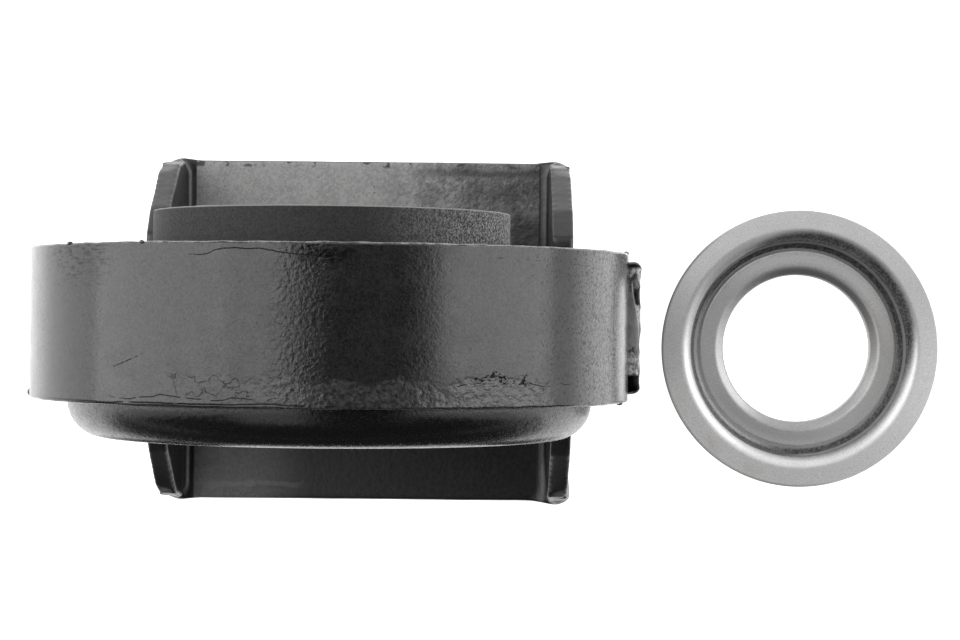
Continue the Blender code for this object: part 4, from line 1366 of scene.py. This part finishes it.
def make_ring_steel():
    """The dust ring's steel: blasted, with dark dirt and painted shade in the groove, painted light and shade on its
    floor and flange, and a breath of rust.
    """
    material, tree, shader = new_material("satin_pressed_steel", (0.5, 0.5, 0.5), 0.40, 0.42)
    place = tree.nodes.new("ShaderNodeTexCoord").outputs["Object"]
    middle = add_node(tree, "ShaderNodeVectorMath", {0: place, 1: (ring_x, ring_y, 0.0)}, operation="SUBTRACT")
    split = add_node(tree, "ShaderNodeSeparateXYZ", {0: middle.outputs[0]})
    x, y = split.outputs["X"], split.outputs["Y"]
    radius = calc(tree, "SQRT", calc(tree, "ADD", calc(tree, "MULTIPLY", x, x), calc(tree, "MULTIPLY", y, y)))
    kind = "ShaderNodeTexNoise"
    cloud = add_node(tree, kind, {"Vector": place, "Scale": 90.0, "Detail": 5.0})
    grain = add_node(tree, kind, {"Vector": place, "Scale": 3600.0, "Detail": 2.0})
    tone = ramp(tree, grain.outputs[0], 0.30, 0.65, 0.78, 1.0)
    tone = calc(tree, "MULTIPLY", tone, ramp(tree, cloud.outputs[0], 0.3, 0.7, 0.90, 1.0))
    # The floor of the ring gets painted light and shade by direction. It is lighter in its middle towards the top,
    # darker near the bore towards the top and darker towards the bottom.
    lit = calc(tree, "MULTIPLY_ADD", x, 0.35, calc(tree, "MULTIPLY", y, 0.94))
    top = ramp(tree, lit, 0.004, 0.018)
    floor_shading = calc(tree, "MULTIPLY_ADD", calc(tree, "MULTIPLY", top, window(tree, radius, 0.0205, 0.0232, 0.0010)), 0.20, 0.58)
    neck_shade = calc(tree, "MULTIPLY", top, ramp(tree, radius, 0.0188, 0.0204, -0.34, 0.0))
    floor_shading = calc(tree, "ADD", floor_shading, neck_shade)
    low = calc(tree, "MULTIPLY", ramp(tree, lit, -0.022, -0.012, -0.12, 0.0), window(tree, radius, 0.0192, 0.0222, 0.0010))
    floor_shading = calc(tree, "ADD", floor_shading, low)
    inside = ramp(tree, radius, 0.0234, 0.0237, 1.0, 0.0)
    # The flange is painted lighter towards the bottom and darker towards the top. Its outer edge gets a painted dark
    # line on the lower left.
    toward_lower_left = calc(tree, "ADD", calc(tree, "MULTIPLY", x, -0.92), calc(tree, "MULTIPLY", y, -0.38))
    flange_shading = ramp(tree, y, -0.016, 0.018, 1.0, 0.64)
    edge_shade = calc(tree, "MULTIPLY", ramp(tree, radius, 0.0324, 0.0330), ramp(tree, toward_lower_left, 0.002, 0.016, 0.0, -0.40))
    flange_shading = calc(tree, "ADD", flange_shading, edge_shade)
    shade = calc(tree, "MULTIPLY_ADD", calc(tree, "SUBTRACT", floor_shading, flange_shading), inside, flange_shading)
    tone = calc(tree, "MULTIPLY", tone, shade)
    steel = tint(tree, tone, (0.0, 0.0, 0.0), (0.95, 0.95, 0.946))
    # The groove's dark is partly grime and partly painted shade. It reaches furthest towards the upper right, where the
    # ring reflects dark, is thinner to the lower left and leaves a light line at the crease.
    toward = calc(tree, "ADD", calc(tree, "MULTIPLY", x, 0.6), calc(tree, "MULTIPLY", y, 0.8))
    reach = ramp(tree, toward, 0.0080, 0.0255, 0.0259, 0.0279)
    grime_and_shade = calc(tree, "SUBTRACT", 1.0, ramp(tree, calc(tree, "SUBTRACT", radius, reach), -0.0006, 0.0014))
    grime_and_shade = calc(tree, "MULTIPLY", grime_and_shade, ramp(tree, radius, 0.0238, 0.0244))
    crease = ramp(tree, calc(tree, "ABSOLUTE", calc(tree, "SUBTRACT", radius, 0.0256)), 0.00010, 0.00024, 0.45, 1.0)
    grime_and_shade = calc(tree, "MULTIPLY", grime_and_shade, crease)
    grime_and_shade = calc(tree, "MULTIPLY", grime_and_shade, ramp(tree, cloud.outputs[0], 0.2, 0.6, 0.80, 0.92))
    grime_and_shade = calc(tree, "MULTIPLY", grime_and_shade, ramp(tree, toward_lower_left, 0.010, 0.021, 1.0, 0.50))
    # On the lower left, a dark band on the steep wall is painted shade.
    foot = calc(tree, "MULTIPLY", window(tree, radius, 0.0248, 0.0262, 0.0003), ramp(tree, toward_lower_left, 0.002, 0.014, 0.0, 0.85))
    grime_and_shade = calc(tree, "MAXIMUM", grime_and_shade, foot)
    cells = place_group(tree, "paint_surface", grain_size=0.00034)["Cells"]
    grime_and_shade = calc(tree, "MULTIPLY", grime_and_shade, ramp(tree, cells, 0.0, 1.0, 0.88, 1.10))
    grimed_and_shaded = tint(tree, grime_and_shade, steel, (0.030, 0.030, 0.030))
    rust = window(tree, x, -0.028, -0.006, 0.005)
    rust = calc(tree, "MULTIPLY", rust, window(tree, y, -0.034, -0.010, 0.005))
    rust = calc(tree, "MULTIPLY", rust, ramp(tree, radius, 0.0285, 0.0310))
    stain = calc(tree, "MULTIPLY", window(tree, radius, 0.018, 0.023, 0.001), window(tree, x, 0.015, 0.024, 0.002))
    rust = calc(tree, "MULTIPLY_ADD", stain, 0.6, rust, clamp=True)
    rust = calc(tree, "MULTIPLY", rust, ramp(tree, cloud.outputs[0], 0.40, 0.65, 0.0, 0.30))
    tree.links.new(tint(tree, rust, grimed_and_shaded, (0.38, 0.31, 0.27)), shader.inputs["Base Color"])
    dull = calc(tree, "MULTIPLY_ADD", grime_and_shade, 0.15, ramp(tree, cloud.outputs[0], 0.3, 0.7, 0.42, 0.35))
    tree.links.new(dull, shader.inputs["Roughness"])
    connect_bump(tree, shader, grain.outputs[0], 6e-6)
    return material


def make_rubber(name, color, roughness):
    """A moulded rubber with a fine matt skin."""
    material, tree, shader = new_material(name, color, roughness)
    place = tree.nodes.new("ShaderNodeTexCoord").outputs["Object"]
    skin = add_node(tree, "ShaderNodeTexNoise", {"Vector": place, "Scale": 1500.0, "Detail": 3.0})
    bloom = add_node(tree, "ShaderNodeTexNoise", {"Vector": place, "Scale": 60.0, "Detail": 4.0})
    dull = ramp(tree, bloom.outputs[0], 0.3, 0.7, roughness - 0.06, roughness + 0.08)
    tree.links.new(dull, shader.inputs["Roughness"])
    connect_bump(tree, shader, skin.outputs[0], 12e-6)
    return material


pressed_steel = make_ring_steel()
ground_steel = make_steel("ground_bearing_steel", (0.42, 0.42, 0.43), 0.26, 0.06)
cage_steel = make_steel("cage_sheet_steel", (0.45, 0.45, 0.44), 0.30, 0.10)
snap_steel = make_steel("dark_spring_steel", (0.16, 0.16, 0.17), 0.34, 0.20)
cushion_rubber = make_rubber("cushion_black_rubber", (0.013, 0.013, 0.013), 0.55)
seal_rubber = make_rubber("seal_black_rubber", (0.016, 0.015, 0.014), 0.42)

dress(dust_ring, pressed_steel)
dress(cushion, cushion_rubber)
dress(snap, snap_steel)
for piece in finished:
    if piece.name.startswith("seal_ring"):
        dress(piece, seal_rubber)
    if piece.name.startswith(("race_", "bearing_ball")):
        dress(piece, ground_steel)
for node, material in (
    ("cage_front", cage_steel),
    ("cage_rear", cage_steel),
    ("bracket_weld_left", bead_paint),
    ("bracket_weld_right", bead_paint),
):
    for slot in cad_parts[node].material_slots:
        slot.material = material
print("finishes placed on", len(finished), "pieces")

# %% Measure and finish
visual_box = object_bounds()
for label, box in (("cad", cad_box), ("visual", visual_box)):
    print(label, [[round(value * 1000, 2) for value in corner] for corner in box])
